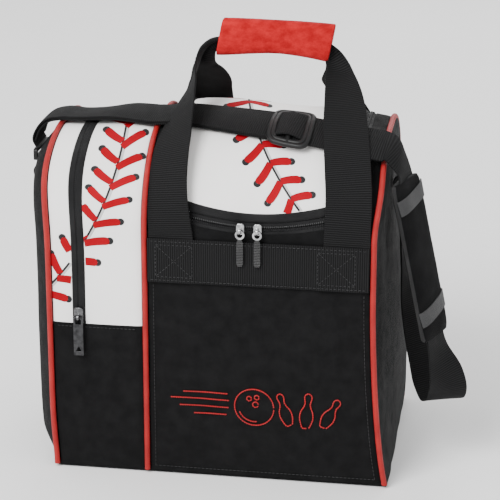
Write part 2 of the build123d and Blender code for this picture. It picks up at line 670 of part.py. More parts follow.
def end_fitting(name, wall_x, outward, ring_y, ring_z, up):
    """D-ring on a sewn tab with a snap hook clipped to it; up is 1 or -1 for the way the ring is pulled."""
    ring_x = wall_x + outward * RING_STAND
    bar_z = ring_z - up * RING_TALL
    with BuildPart() as tab:
        with BuildSketch(Plane.XZ.offset(-ring_y - TAB_WIDE / 2)):
            with BuildLine():
                FilletPolyline(
                    (wall_x + outward * 1.6, bar_z - up * TAB_LONG),
                    (wall_x + outward * 1.6, bar_z - up * 12),
                    (ring_x, bar_z - up * (RING_WIRE_R + 1.4)),
                    radius=4,
                )
            trace(line_width=1.6)
            with Locations((ring_x, bar_z)):
                Circle(RING_WIRE_R + 2.0)
                Circle(RING_WIRE_R + 0.4, mode=Mode.SUBTRACT)
        extrude(amount=TAB_WIDE)
    save(tab, f"{name}_ring_tab")

    half = RING_HALF
    ring_plane = Plane.YZ.offset(ring_x)
    ring_path = ring_plane * FilletPolyline(
        (ring_y - half, bar_z),
        (ring_y - half, ring_z),
        (ring_y + half, ring_z),
        (ring_y + half, bar_z),
        radius=4.0,
        close=True,
    )
    with BuildPart() as ring:
        with BuildSketch(Plane(origin=ring_path @ 0, z_dir=ring_path % 0)):
            Circle(RING_WIRE_R)
        sweep(path=ring_path)
    save(ring, f"{name}_ring")

    eye_z = ring_z + up * (EYE_HOLE_R - RING_WIRE_R - 0.5)
    with BuildPart() as hook:
        with BuildSketch(Plane.XZ.offset(-ring_y - 3)):
            with Locations((ring_x, eye_z)):
                Circle(EYE_R)
                Circle(EYE_HOLE_R, mode=Mode.SUBTRACT)
            with Locations((ring_x, ring_z + up * (STEM_LOW + STEM_HIGH) / 2)):
                Rectangle(7, STEM_HIGH - STEM_LOW)
        extrude(amount=6)
    save(hook, f"{name}_hook")

    with BuildPart() as swivel:
        with BuildSketch(Plane.YZ.offset(ring_x - 2.2)):
            with Locations((ring_y, ring_z + up * SWIVEL_Z)):
                RectangleRounded(SLOT_WIDE + 6, SWIVEL_TALL, 3)
                Rectangle(SLOT_WIDE, SLOT_TALL, mode=Mode.SUBTRACT)
        extrude(amount=4.4)
    save(swivel, f"{name}_swivel")
    return Vector(ring_x, ring_y, ring_z + up * SWIVEL_Z)


RIGHT_RING_Y = RIGHT_Y + 44.0
left_end = end_fitting("left", LEFT_SEAM - 0.5 - PUFF, -1, LEFT_Y, 273.0, 1)
right_end = end_fitting("right", RIGHT_SEAM + 0.5 + FABRIC, 1, RIGHT_RING_Y, 286.0, -1)

FLAT_ACROSS = (0, 1, 0)
with BuildPart() as strap_left_drop:
    add(webbing(
        [
            ((-160.5, LEFT_Y, TOP_Z), (-1, 0, 0), FLAT_ACROSS),
            ((-175.0, LEFT_Y, TOP_Z - 1), (-1, 0, -0.3), FLAT_ACROSS),
            ((-188.0, LEFT_Y, TOP_Z - 9), (-0.7, 0, -0.7), FLAT_ACROSS),
            ((-198.0, LEFT_Y, TOP_Z - 24), (-0.3, 0, -1), FLAT_ACROSS),
            ((left_end.X - 2, LEFT_Y, TOP_Z - 36), (0.15, 0, -1), FLAT_ACROSS),
            (left_end + Vector(0, 0, SWIVEL_TALL / 2 + CLEAR), (0, 0, -1), FLAT_ACROSS),
        ],
        STRAP_WIDE,
        STRAP,
    ))
save(strap_left_drop, "strap_left_drop")

# The slack below the pad hangs in a loop and climbs back to the right ring
LOOP_ACROSS = (0.94, 0.34, 0)
LOOP_LOW_Z = 74.0
with BuildPart() as strap_loop:
    add(webbing(
        [
            (STRAIGHT_LOW, PAD_RUN, PAD_ACROSS),
            ((217.0, RIGHT_Y - 8, 104.0), (0.15, 0, -1), (0.8, 0.6, 0.1)),
            ((218.5, RIGHT_Y - 3, 88.0), (0, 0.4, -0.9), LOOP_ACROSS),
            ((216.0, RIGHT_Y + 5, 78.0), (-0.2, 0.85, -0.5), LOOP_ACROSS),
            ((210.0, RIGHT_Y + 15, LOOP_LOW_Z), (-0.35, 0.92, 0.15), LOOP_ACROSS),
            ((203.0, RIGHT_Y + 25, 84.0), (-0.3, 0.6, 0.74), LOOP_ACROSS),
            ((196.0, RIGHT_Y + 31, 108.0), (-0.25, 0.15, 0.95), LOOP_ACROSS),
            ((185.0, RIGHT_Y + 35, 155.0), (-0.22, 0.1, 0.97), (0.8, 0.6, 0.1)),
            ((174.5, RIGHT_Y + 40, 205.0), (-0.2, 0.1, 0.97), (0.3, 0.95, 0)),
            (right_end - Vector(0, 0, SWIVEL_TALL / 2 + CLEAR), (0, 0, 1), FLAT_ACROSS),
        ],
        STRAP_WIDE,
        STRAP,
    ))
save(strap_loop, "strap_loop")
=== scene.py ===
"""Looks of the soft single-ball bowling tote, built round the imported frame.

Lengths in this file are millimetres until a mesh is made; Blender objects are in metres.
The shell is described by x along the bag and s, the length of the path that runs up the
front, over the top and down the back.
"""
import math

import bpy
import numpy as np
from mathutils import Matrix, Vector, noise


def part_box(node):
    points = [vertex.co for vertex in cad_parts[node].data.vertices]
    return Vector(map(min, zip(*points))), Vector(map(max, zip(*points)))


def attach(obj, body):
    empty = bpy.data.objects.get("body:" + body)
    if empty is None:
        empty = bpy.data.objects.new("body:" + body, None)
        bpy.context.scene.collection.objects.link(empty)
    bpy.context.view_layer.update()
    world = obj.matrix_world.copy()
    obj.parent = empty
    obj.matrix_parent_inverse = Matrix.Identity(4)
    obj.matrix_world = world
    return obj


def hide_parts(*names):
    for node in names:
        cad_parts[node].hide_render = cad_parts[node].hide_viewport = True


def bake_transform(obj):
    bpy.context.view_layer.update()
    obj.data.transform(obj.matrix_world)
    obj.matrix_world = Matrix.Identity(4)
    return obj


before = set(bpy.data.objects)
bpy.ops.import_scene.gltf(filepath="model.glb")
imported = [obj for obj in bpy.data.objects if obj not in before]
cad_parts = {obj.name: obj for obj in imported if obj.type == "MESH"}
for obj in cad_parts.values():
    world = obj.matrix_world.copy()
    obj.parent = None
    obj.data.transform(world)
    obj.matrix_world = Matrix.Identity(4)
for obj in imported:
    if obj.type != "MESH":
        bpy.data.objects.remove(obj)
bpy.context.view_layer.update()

MM = 0.001
UV_UNIT = 0.01           # one unit of the UV map is 100 mm
HALF_PI = math.pi / 2
SHARP = math.radians(55)    # steeper edges than this stay crisp


X, Y, Z = range(3)


def extent(node, axis):
    """Lowest and highest coordinate of a CAD node along an axis, in millimetres."""
    low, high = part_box(node)
    return low[axis] / MM, high[axis] / MM


def middle(node, axis=X):
    return sum(extent(node, axis)) / 2


def stack(*columns):
    """Columns side by side along a new last axis, each stretched to the same shape."""
    return np.stack(np.broadcast_arrays(*columns), -1)


# ---------------------------------------------------------------- the shell's own measures

FRONT_Y = -extent("front_panel", Y)[0]
HEIGHT = extent("lid_panel", Z)[1]
CORNER = 92.0
ARC_Y = FRONT_Y - CORNER
ARC_Z = HEIGHT - CORNER
FOOT = extent("front_panel", Z)[0]
LEFT = middle("piping_left")
DIVIDER = middle("piping_divider")
RIGHT = middle("piping_right")
PIPE_R = 3.2
PIPE_SEEN = 2.75         # the wrapped cord pressed into its seam
MAIN_LEFT, MAIN_RIGHT = extent("back_panel", X)
POCKET_LEFT, POCKET_RIGHT = extent("pocket_front_lower", X)
ZIP_LEFT, ZIP_RIGHT = extent("pocket_zip_tape", X)
PRINT_LOW = extent("pocket_print_right", Z)[0]

# Lengths s where the front, its corner, the flat top, the rear corner and the back end
S_CORNER = ARC_Z
S_TOP = S_CORNER + CORNER * HALF_PI
S_BACK = S_TOP + 2 * ARC_Y
S_DOWN = S_BACK + CORNER * HALF_PI
S_END = S_DOWN + ARC_Z
HINGE_LEAN = math.radians(55)      # the lid's hinge lies this far round the rear corner
S_HINGE = S_BACK + CORNER * HINGE_LEAN
S_PRINT_END = S_TOP + ARC_Y + 12   # the print runs on a little behind the top's middle

LID_X = middle("lid_panel")
LID_HALF = extent("lid_panel", X)[1] - LID_X
LID_FRONT_V = 115.4      # the lid's front edge, measured along a line 45 degrees up and back
LID_SAG = 13.0           # how much further forward its middle lies than its corners would
LID_CORNER = 24.0
WELT = 6.5               # widths round the lid: welt, each side's tape, and gaps between them
TAPE = 3.8
CLEAR = 0.4
LID_TAPE = WELT + CLEAR + TAPE
BAG_TAPE = LID_TAPE + CLEAR + TAPE
OPEN_GROW = BAG_TAPE + CLEAR


def ease(t):
    t = np.clip(t, 0, 1)
    return t * t * (3 - 2 * t)


def side(s):
    """y, z and the outward normal of the side outline at lengths s from the front foot."""
    s = np.asarray(s, float)
    turn = np.clip((s - S_CORNER) / CORNER, 0, HALF_PI) + np.clip((s - S_BACK) / CORNER, 0, HALF_PI)
    ny, nz = -np.cos(turn), np.sin(turn)
    y = -ARC_Y + np.clip(s - S_TOP, 0, 2 * ARC_Y) + CORNER * ny
    z = ARC_Z + CORNER * nz - np.maximum(S_CORNER - s, 0) - np.maximum(s - S_DOWN, 0)
    return y, z, ny, nz


def path_length(y):
    """Path length s of a point of the front corner or the flat top, from its y."""
    y = np.asarray(y, float)
    lean = np.arccos(np.clip((-ARC_Y - y) / CORNER, 0, 1))
    return np.where(y < -ARC_Y, S_CORNER + CORNER * lean, S_TOP + y + ARC_Y)


def bump(t):
    """A smooth rise and fall over t from 0 to 1."""
    return np.sin(np.pi * np.clip(t, 0, 1))


SHOULDER = 6.0           # the pocket's top leans out to the left
FOOT_OUT, FOOT_FADE = 12, 55       # the right end's front edge stands out at its foot
WAIST_IN = 4.5                     # and is drawn in at half height
REAR_OUT = 11                      # the right end's rear edge stands out below its middle
DROOP_FROM, DROOP_OVER = 240, 90   # heights over which the slack top sags


def droop(x):
    """How far the top sags below the crisp arch towards the two ends."""
    left = 5 * ease((-35 - x) / 40) + 7 * ease((DIVIDER - x) / (DIVIDER - LEFT))
    return left + 7 * ease((x - 100) / (RIGHT - 100))


def soften(points, sag=None):
    """The slack stance of the whole bag: waisted right end, drooping shoulders."""
    x, y, z = points[:, 0], points[:, 1], points[:, 2]
    right = ease((x - DIVIDER) / (RIGHT - DIVIDER))
    left = ease((DIVIDER - x) / (DIVIDER - LEFT))
    front = ease((20 - y) / 132)
    waist = FOOT_OUT * np.exp(-z / FOOT_FADE) - WAIST_IN * ease(z / 200) * (1 - ease((z - ARC_Z) / 60))
    behind = REAR_OUT * (1 - ease((z - 130) / 150))
    flare = SHOULDER * np.exp(-((z - 318) / 45) ** 2) - 3 * np.exp(-((z / 40) ** 2))
    out = points.copy()
    out[:, 0] = x + right * (front * waist + (1 - front) * behind) - left * flare
    out[:, 2] = z - (droop(x) if sag is None else sag) * ease((z - DROOP_FROM) / DROOP_OVER)
    return out


def folds(a, b, seed, size_a, size_b):
    """Smooth uneven folds over two surface lengths, about -1 to 1."""
    pairs = zip(np.ravel(a), np.ravel(b))
    return np.array([noise.noise(Vector((p / size_a, q / size_b, seed))) for p, q in pairs])


SEAMS = (LEFT, DIVIDER, RIGHT)
SEAM_TUCK = 1.5          # panels dip beside the piping
TUCK_WIDE = 5.5
BROAD_FOLDS = (3.7, 62, 85)        # seed, size along the bag and size up it
FINE_FOLDS = (8.1, 21, 34)
LID_DOME = 5.0           # the lid is pushed up below the handle


def crown(x, s):
    """How far the stuffed panels stand out between their seams."""
    main = bump((x - DIVIDER) / (RIGHT - DIVIDER)) ** 0.8
    pocket = bump((x - LEFT) / (DIVIDER - LEFT)) ** 0.8
    front_low = bump(s / 205)
    back_low = bump((S_END - s) / 300)
    over = bump((s - 250) / 160)
    dome = LID_DOME * np.exp(-(((x + 15) / 55) ** 2)) * bump((s - 388) / 132)
    stuffed = main * (4.0 * front_low + 6.0 * back_low)
    return stuffed + dome + pocket * (1.2 * front_low + 5.0 * back_low + 1.5 * over)


def raised(x, s, lift):
    """Points of the crisp outline, lifted along its normals."""
    y, z, ny, nz = side(s)
    return stack(x, y + lift * ny, z + lift * nz)


def skin(x, s, rise=0.0, crease=0.0):
    """Points of the soft shell, raised above the panel face, and its outward normals."""
    x, s = np.ravel(np.asarray(x, float)), np.ravel(np.asarray(s, float))
    lift = rise + crown(x, s)
    if crease:
        lift = lift + crease * (1.5 * folds(x, s, *BROAD_FOLDS) + 0.5 * folds(x, s, *FINE_FOLDS))
        for seam in SEAMS:
            lift = lift - SEAM_TUCK * np.exp(-((x - seam) / TUCK_WIDE) ** 2)
    return soften(raised(x, s, lift)), stack(0.0, *side(s)[2:])


# ---------------------------------------------------------------- mesh making


def placed(name, data):
    """A new object in the scene."""
    made = bpy.data.objects.new(name, data)
    bpy.context.scene.collection.objects.link(made)
    return made


def dress(mesh, material):
    """Give a mesh one material and smooth shading."""
    mesh.materials.clear()
    mesh.materials.append(material)
    mesh.shade_smooth()


def make_object(name, points, faces, uv, material):
    """A smooth-shaded mesh object from points in millimetres."""
    mesh = bpy.data.meshes.new(name)
    mesh.from_pydata((np.asarray(points) * MM).tolist(), [], faces)
    corners = np.empty(len(mesh.loops), int)
    mesh.loops.foreach_get("vertex_index", corners)
    layer = mesh.uv_layers.new(name="UVMap")
    layer.data.foreach_set("uv", (np.asarray(uv, float)[corners] * UV_UNIT).ravel())
    dress(mesh, material)
    mesh.set_sharp_from_angle(angle=SHARP)
    return placed(name, mesh)


def grid(u, v):
    """Two lists of surface lengths as a patch."""
    return np.meshgrid(np.asarray(u, float), np.asarray(v, float), indexing="ij")


def filled(across, low, high, shares):
    """A patch of lines at the given places across, each filled from its low to its high end."""
    across, low, high = (column[:, None] for column in np.broadcast_arrays(across, low, high))
    return np.repeat(across, len(shares), 1), low + (high - low) * shares


def span(start, stop, step):
    """Evenly spaced lengths from start to stop, about one step apart."""
    return np.linspace(start, stop, max(2, int(round(abs(stop - start) / step)) + 1))


def run_length(line):
    """Distance along a line at each of its points."""
    return np.concatenate([[0], np.cumsum(np.linalg.norm(np.diff(line, axis=0), axis=1))])


def ring_faces(rings, sides, flip=False, closed=False, first=0):
    """Quads between neighbouring rings of points, with a cap on each end of an open form.

    Each quad is listed from its corner number first, which sets the diagonal it is split along.
    """
    faces = []
    for i in range(rings if closed else rings - 1):
        here, there = i * sides, (i + 1) % rings * sides
        for k in range(sides):
            n = (k + 1) % sides
            faces.append([here + k, here + n, there + n, there + k])
    if flip:
        faces = [face[:1] + face[:0:-1] for face in faces]
    faces = [face[first:] + face[:first] for face in faces]
    if not closed:
        caps = [list(range(sides)), list(range((rings - 1) * sides, rings * sides))]
        caps[flip].reverse()
        faces += caps
    return faces


def ring_angles(count):
    return np.arange(count) * 2 * math.pi / count


def loft(name, rings, uv, material, first):
    """A closed form through rings of points, given ring by ring with their UVs."""
    faces = ring_faces(*np.shape(rings)[:2], flip=True, first=first)
    return make_object(name, np.reshape(rings, (-1, 3)), faces, np.reshape(uv, (-1, 2)), material)


def crossed(lines):
    """Patch of surface lengths from flat lines of (x, s) side by side."""
    lines = np.stack(lines, 1)
    return lines[:, :, 0], lines[:, :, 1]


def spot_key(a, b):
    """Two surface lengths rounded, so that points shared by patches are found again."""
    return round(float(a), 2), round(float(b), 2)


def solid_sheet(name, patches, place, thick, material):
    """A closed sheet over patches of surface lengths; place gives its outer points and normals."""
    index, flat, faces = {}, [], []
    for u, v in patches:
        ids = np.empty(u.shape, int)
        for spot in np.ndindex(u.shape):
            key = spot_key(u[spot], v[spot])
            if key not in index:
                index[key] = len(flat)
                flat.append(key)
            ids[spot] = index[key]
        for i in range(u.shape[0] - 1):
            for j in range(u.shape[1] - 1):
                ring = (ids[i, j], ids[i + 1, j], ids[i + 1, j + 1], ids[i, j + 1])
                ring = list(dict.fromkeys(int(k) for k in ring))
                if len(ring) > 2:
                    faces.append(ring)
    flat = np.array(flat)
    outer, normals = place(*flat.T)
    normals = np.broadcast_to(normals, outer.shape)
    a, b, c = (outer[[f[k] for f in faces]] for k in (0, 1, 2))
    facing = np.einsum("ij,ij->i", np.cross(b - a, c - a), normals[[f[0] for f in faces]])
    faces = [f if good >= 0 else f[::-1] for f, good in zip(faces, facing)]
    count = len(outer)
    edges = {(f[k - 1], f[k]) for f in faces for k in range(len(f))}
    rims = [[b, a, a + count, b + count] for a, b in sorted(edges) if (b, a) not in edges]
    backs = [[k + count for k in reversed(f)] for f in faces]
    points = np.concatenate([outer, outer - normals * thick])
    return make_object(name, points, faces + backs + rims, np.concatenate([flat, flat]), material)


def spline(rows, step):
    """Rows of numbers every step millimetres along a smooth curve; columns 0 to 2 are its place."""
    rows = np.asarray(rows, float)
    t = run_length(rows[:, :3])
    slope = np.diff(rows, axis=0) / np.diff(t)[:, None]
    tangent = np.empty_like(rows)
    tangent[0], tangent[-1] = slope[0], slope[-1]
    before, after = np.diff(t)[:-1, None], np.diff(t)[1:, None]
    tangent[1:-1] = (slope[:-1] * after + slope[1:] * before) / (before + after)
    at = span(0, t[-1], step)
    k = np.clip(np.searchsorted(t, at, side="right") - 1, 0, len(t) - 2)
    h = (t[k + 1] - t[k])[:, None]
    w = ((at - t[k])[:, None]) / h
    near = (1 + 2 * w) * (1 - w) ** 2 * rows[k] + w * (1 - w) ** 2 * h * tangent[k]
    far = w * w * (3 - 2 * w) * rows[k + 1] + w * w * (w - 1) * h * tangent[k + 1]
    return near + far


def unit(v):
    return v / np.maximum(np.linalg.norm(v, axis=-1, keepdims=True), 1e-9)


RIB_STEP = 1.05          # webbing ribs are two steps apart
RIB = 0.12
ACROSS_POINTS = 9
BACK_UV = 100            # the UVs of a strap's back lie this far beside those of its front


def ribbon(name, centres, across, widths, thick, material, bow=0.0, rib=RIB):
    """Webbing along a dense line of centres, with ribs across it and rounded selvedges."""
    return make_object(name, *ribbon_parts(centres, across, widths, thick, bow, rib), material)


def ribbon_parts(centres, across, widths, thick, bow=0.0, rib=RIB):
    """Points, faces and UVs of webbing."""
    centres = np.asarray(centres, float)
    across = np.broadcast_to(np.asarray(across, float), centres.shape)
    count = len(centres)
    run = unit(np.gradient(centres, axis=0))
    across = unit(across - np.sum(across * run, axis=1, keepdims=True) * run)
    normal = np.cross(run, across)
    widths = np.broadcast_to(np.asarray(widths, float), count)
    bow = np.broadcast_to(np.asarray(bow, float), count)
    shares = np.linspace(-0.98, 0.98, ACROSS_POINTS)
    section = [(a, 1) for a in shares] + [(1.0, 0)] + [(a, -1) for a in shares[::-1]] + [(-1.0, 0)]
    ridge = rib * np.where(np.arange(count) % 2, 1, -1)
    length = run_length(centres)
    points, uv = [], []
    for a, up in section:
        height = up * (thick / 2 + ridge) + bow * (1 - a * a)
        points.append(centres + across * (a * widths / 2)[:, None] + normal * height[:, None])
        uv.append(stack(a * widths / 2 + BACK_UV * (up < 0), length))
    faces = ring_faces(count, len(section), flip=True)
    return np.stack(points, 1).reshape(-1, 3), faces, np.stack(uv, 1).reshape(-1, 2)


def ribbon_through(name, stations, thick, material):
    """Webbing through stations of (x, y, z, across x, across y, across z, width, bow)."""
    rows = spline(stations, RIB_STEP)
    return ribbon(name, rows[:, :3], rows[:, 3:6], rows[:, 6], thick, material, rows[:, 7])


def tube_parts(line, radius, sides, closed=False):
    """Points, faces and UVs of a round cord, its rings turned as little as possible."""
    line = np.asarray(line, float)
    count = len(line)
    if closed:
        run = unit(np.roll(line, -1, axis=0) - np.roll(line, 1, axis=0))
    else:
        run = unit(np.gradient(line, axis=0))
    side_on = np.empty_like(run)
    guess = np.array([0.31, 0.2, 0.93])
    for i in range(count):
        guess = unit(guess - (guess @ run[i]) * run[i])
        side_on[i] = guess
    third = np.cross(run, side_on)
    angles = ring_angles(sides)
    radius = np.broadcast_to(np.asarray(radius, float), count)[:, None]
    ring = side_on[:, None] * np.cos(angles)[:, None] + third[:, None] * np.sin(angles)[:, None]
    points = (line[:, None] + ring * radius[:, None]).reshape(-1, 3)
    uv = stack(angles * radius, run_length(line)[:, None]).reshape(-1, 2)
    return points, ring_faces(count, sides, closed=closed), uv


def joined(name, parts, material):
    """One object from several (points, faces, uv) parts."""
    points, faces, uv, start = [], [], [], 0
    for part_points, part_faces, part_uv in parts:
        points.append(part_points)
        uv.append(part_uv)
        faces += [[k + start for k in f] for f in part_faces]
        start += len(part_points)
    return make_object(name, np.concatenate(points), faces, np.concatenate(uv), material)


STITCH_LONG = 2.6
STITCH_GAP = 1.3
THREAD_R = 0.32


def stitch_parts(line, normals, radius=THREAD_R, long=STITCH_LONG, gap=STITCH_GAP):
    """Separate thread stitches along a dense line that lies on a surface."""
    line, normals = np.asarray(line, float), np.asarray(normals, float)
    length = run_length(line)
    parts = []
    for start in np.arange(gap, length[-1] - long, long + gap):
        at = start + long * np.array([0, 0.2, 0.5, 0.8, 1])
        centre = stack(*(np.interp(at, length, column) for column in line.T))
        up = stack(*(np.interp(at, length, column) for column in normals.T))
        arch = np.array([-0.6, 0.3, 0.6, 0.3, -0.6]) * radius
        thick = np.array([0.45, 0.9, 1.0, 0.9, 0.45]) * radius
        parts.append(tube_parts(centre + up * arch[:, None], thick, sides=5))
    return parts


def finish_piece(piece, body, slot, *nodes):
    """Ride and replaced CAD nodes of a piece in one place; slot is not used."""
    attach(piece, body)
    if nodes:
        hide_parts(*nodes)
    return piece


# ---------------------------------------------------------------- materials


class Shader:
    """A node material in the making: short calls that add and link nodes."""

    def __init__(self, name, **sockets):
        self.material = bpy.data.materials.new(name)
        self.material.use_nodes = True
        self.tree = self.material.node_tree
        self.bsdf = self.tree.nodes["Principled BSDF"]
        for socket, value in sockets.items():
            self.bsdf.inputs[socket.replace("_", " ")].default_value = value

    def node(self, kind, *links, **settings):
        """Add a node; links are (input, value or output socket)."""
        made = self.tree.nodes.new("ShaderNode" + kind)
        for key, value in settings.items():
            setattr(made, key, value)
        for slot_name, value in links:
            socket = made.inputs[slot_name]
            if isinstance(value, bpy.types.NodeSocket):
                self.tree.links.new(value, socket)
            else:
                socket.default_value = value
        return made

    def math(self, operation, a, b=0.0, c=0.0):
        return self.node("Math", (0, a), (1, b), (2, c), operation=operation).outputs[0]

    def sum(self, a, share, b):
        """a times share, plus b."""
        return self.math("MULTIPLY_ADD", a, share, b)

    def uv(self):
        """The UV map in millimetres, as separate u and v."""
        split = self.node("SeparateXYZ", ("Vector", self.node("TexCoord").outputs["UV"]))
        return [self.math("MULTIPLY", split.outputs[k], 1 / UV_UNIT) for k in (0, 1)]

    def place(self):
        """The place on the object, in metres."""
        return self.node("TexCoord").outputs["Object"]

    def wave(self, value, pitch):
        """A sine of a length in millimetres, from -1 to 1."""
        return self.math("SINE", self.math("MULTIPLY", value, 2 * math.pi / pitch))

    def noise(self, size, detail=3.0, roughness=0.55, stretch=None):
        """Noise with features about size metres across."""
        vector = self.place()
        if stretch:
            vector = self.node("Mapping", ("Vector", vector), ("Scale", stretch)).outputs[0]
        looks = (("Scale", 1 / size), ("Detail", detail), ("Roughness", roughness))
        return self.node("TexNoise", ("Vector", vector), *looks).outputs["Fac"]

    def mix(self, fac, dark, light):
        """A colour between two colours; a linked factor is clamped."""
        made = self.node("Mix", data_type="RGBA")
        self.tree.links.new(fac, made.inputs["Factor"])
        for key, value in ((6, dark), (7, light)):
            if isinstance(value, bpy.types.NodeSocket):
                self.tree.links.new(value, made.inputs[key])
            else:
                made.inputs[key].default_value = (*value, 1)
        return made.outputs[2]

    def ramp(self, fac, low, high, to_low=0.0, to_high=1.0):
        """A factor stretched from low..high to to_low..to_high."""
        ends = (("From Min", low), ("From Max", high), ("To Min", to_low), ("To Max", to_high))
        return self.node("MapRange", ("Value", fac), *ends).outputs[0]

    def finish(self, colour, rough=None, height=None, depth=0.0002, strength=1.0):
        """Link colour, roughness and bump height to the surface."""
        self.tree.links.new(colour, self.bsdf.inputs["Base Color"])
        if rough is not None:
            self.tree.links.new(rough, self.bsdf.inputs["Roughness"])
        if height is not None:
            bumped = self.node("Bump", ("Strength", strength), ("Distance", depth), ("Height", height))
            self.tree.links.new(bumped.outputs[0], self.bsdf.inputs["Normal"])
        return self.material


def woven(name, dark, light, pitch, depth, sheen, rough=(0.72, 0.92), patch=0.03, specular=0.35):
    """Plain woven cloth: crossing threads, mottled colour and roughness."""
    shader = Shader(name, Sheen_Weight=sheen, Sheen_Roughness=0.45, Specular_IOR_Level=specular)
    u, v = shader.uv()
    weave = shader.math("MULTIPLY", shader.wave(u, pitch), shader.wave(v, pitch))
    mottle = shader.noise(patch, 5.0)
    slub = shader.noise(0.0016, 2.0)
    fac = shader.sum(weave, 0.16, shader.ramp(mottle, 0.3, 0.72))
    fac = shader.sum(slub, 0.25, shader.math("SUBTRACT", fac, 0.12))
    colour = shader.mix(fac, dark, light)
    roughness = shader.ramp(mottle, 0.3, 0.7, rough[1], rough[0])
    height = shader.sum(slub, 1.2, weave)
    return shader.finish(colour, roughness, height, depth)


def webbing_cloth(name, dark, light):
    """Heavy webbing: ribs across, warp threads along, rib crests painted lighter as a painted highlight,
    uneven mottled tone.
    """
    shader = Shader(name, Sheen_Weight=0.01, Sheen_Roughness=0.5, Specular_IOR_Level=0.14)
    u, v = shader.uv()
    ribs = shader.wave(v, 2 * RIB_STEP)
    warp = shader.wave(shader.sum(ribs, 0.12, u), 0.95)
    mottle = shader.noise(0.012, 4.0)
    # the colour is lighter on the rib crests than in the troughs: a painted highlight
    fac = shader.sum(ribs, 0.42, 0.30)
    fac = shader.sum(warp, 0.10, fac)
    fac = shader.sum(mottle, 0.5, shader.math("SUBTRACT", fac, 0.22))
    height = shader.sum(warp, 0.5, ribs)
    rough = shader.ramp(mottle, -1.6, 1.1)
    return shader.finish(shader.mix(fac, dark, light), rough, height, 0.00012)


def suede():
    """Mottled brushed cloth of the grip."""
    shader = Shader("grip_suede", Sheen_Weight=0.03, Sheen_Roughness=0.6, Specular_IOR_Level=0.08)
    blotch = shader.noise(0.011, 6.0, 0.62, stretch=(1.0, 1.0, 1.6))
    nap = shader.noise(0.0011, 3.0)
    fac = shader.sum(nap, 0.45, shader.math("SUBTRACT", shader.ramp(blotch, 0.36, 0.66), 0.2))
    colour = shader.mix(fac, (0.27, 0.003, 0.005), (0.43, 0.010, 0.013))
    rough = shader.ramp(blotch, 0.3, 0.7, 0.95, 0.78)
    return shader.finish(colour, rough, shader.sum(blotch, 0.6, nap), 0.0005, 0.7)


def moulded_plastic(name, colour, light, rough, grain=0.0009, depth=0.00005):
    """Moulded plastic or rubber with fine spark grain and handling marks."""
    shader = Shader(name, Specular_IOR_Level=0.28)
    smudge = shader.noise(0.009, 4.0)
    fine = shader.noise(grain, 2.0)
    roughness = shader.ramp(smudge, 0.35, 0.7, rough, rough + 0.14)
    colour = shader.mix(shader.ramp(smudge, 0.4, 0.75), colour, light)
    return shader.finish(colour, roughness, fine, depth)


def metal(name, colour, worn, rough):
    """Plated metal, slightly uneven, with fine scratches."""
    shader = Shader(name, Metallic=1.0)
    scratch = shader.noise(0.0006, 2.0, 0.6, stretch=(0.25, 1.0, 1.0))
    cloud = shader.noise(0.004, 3.0)
    roughness = shader.ramp(scratch, 0.3, 0.7, rough, rough + 0.15)
    return shader.finish(shader.mix(shader.ramp(cloud, 0.4, 0.7), colour, worn), roughness, scratch, 0.00002)


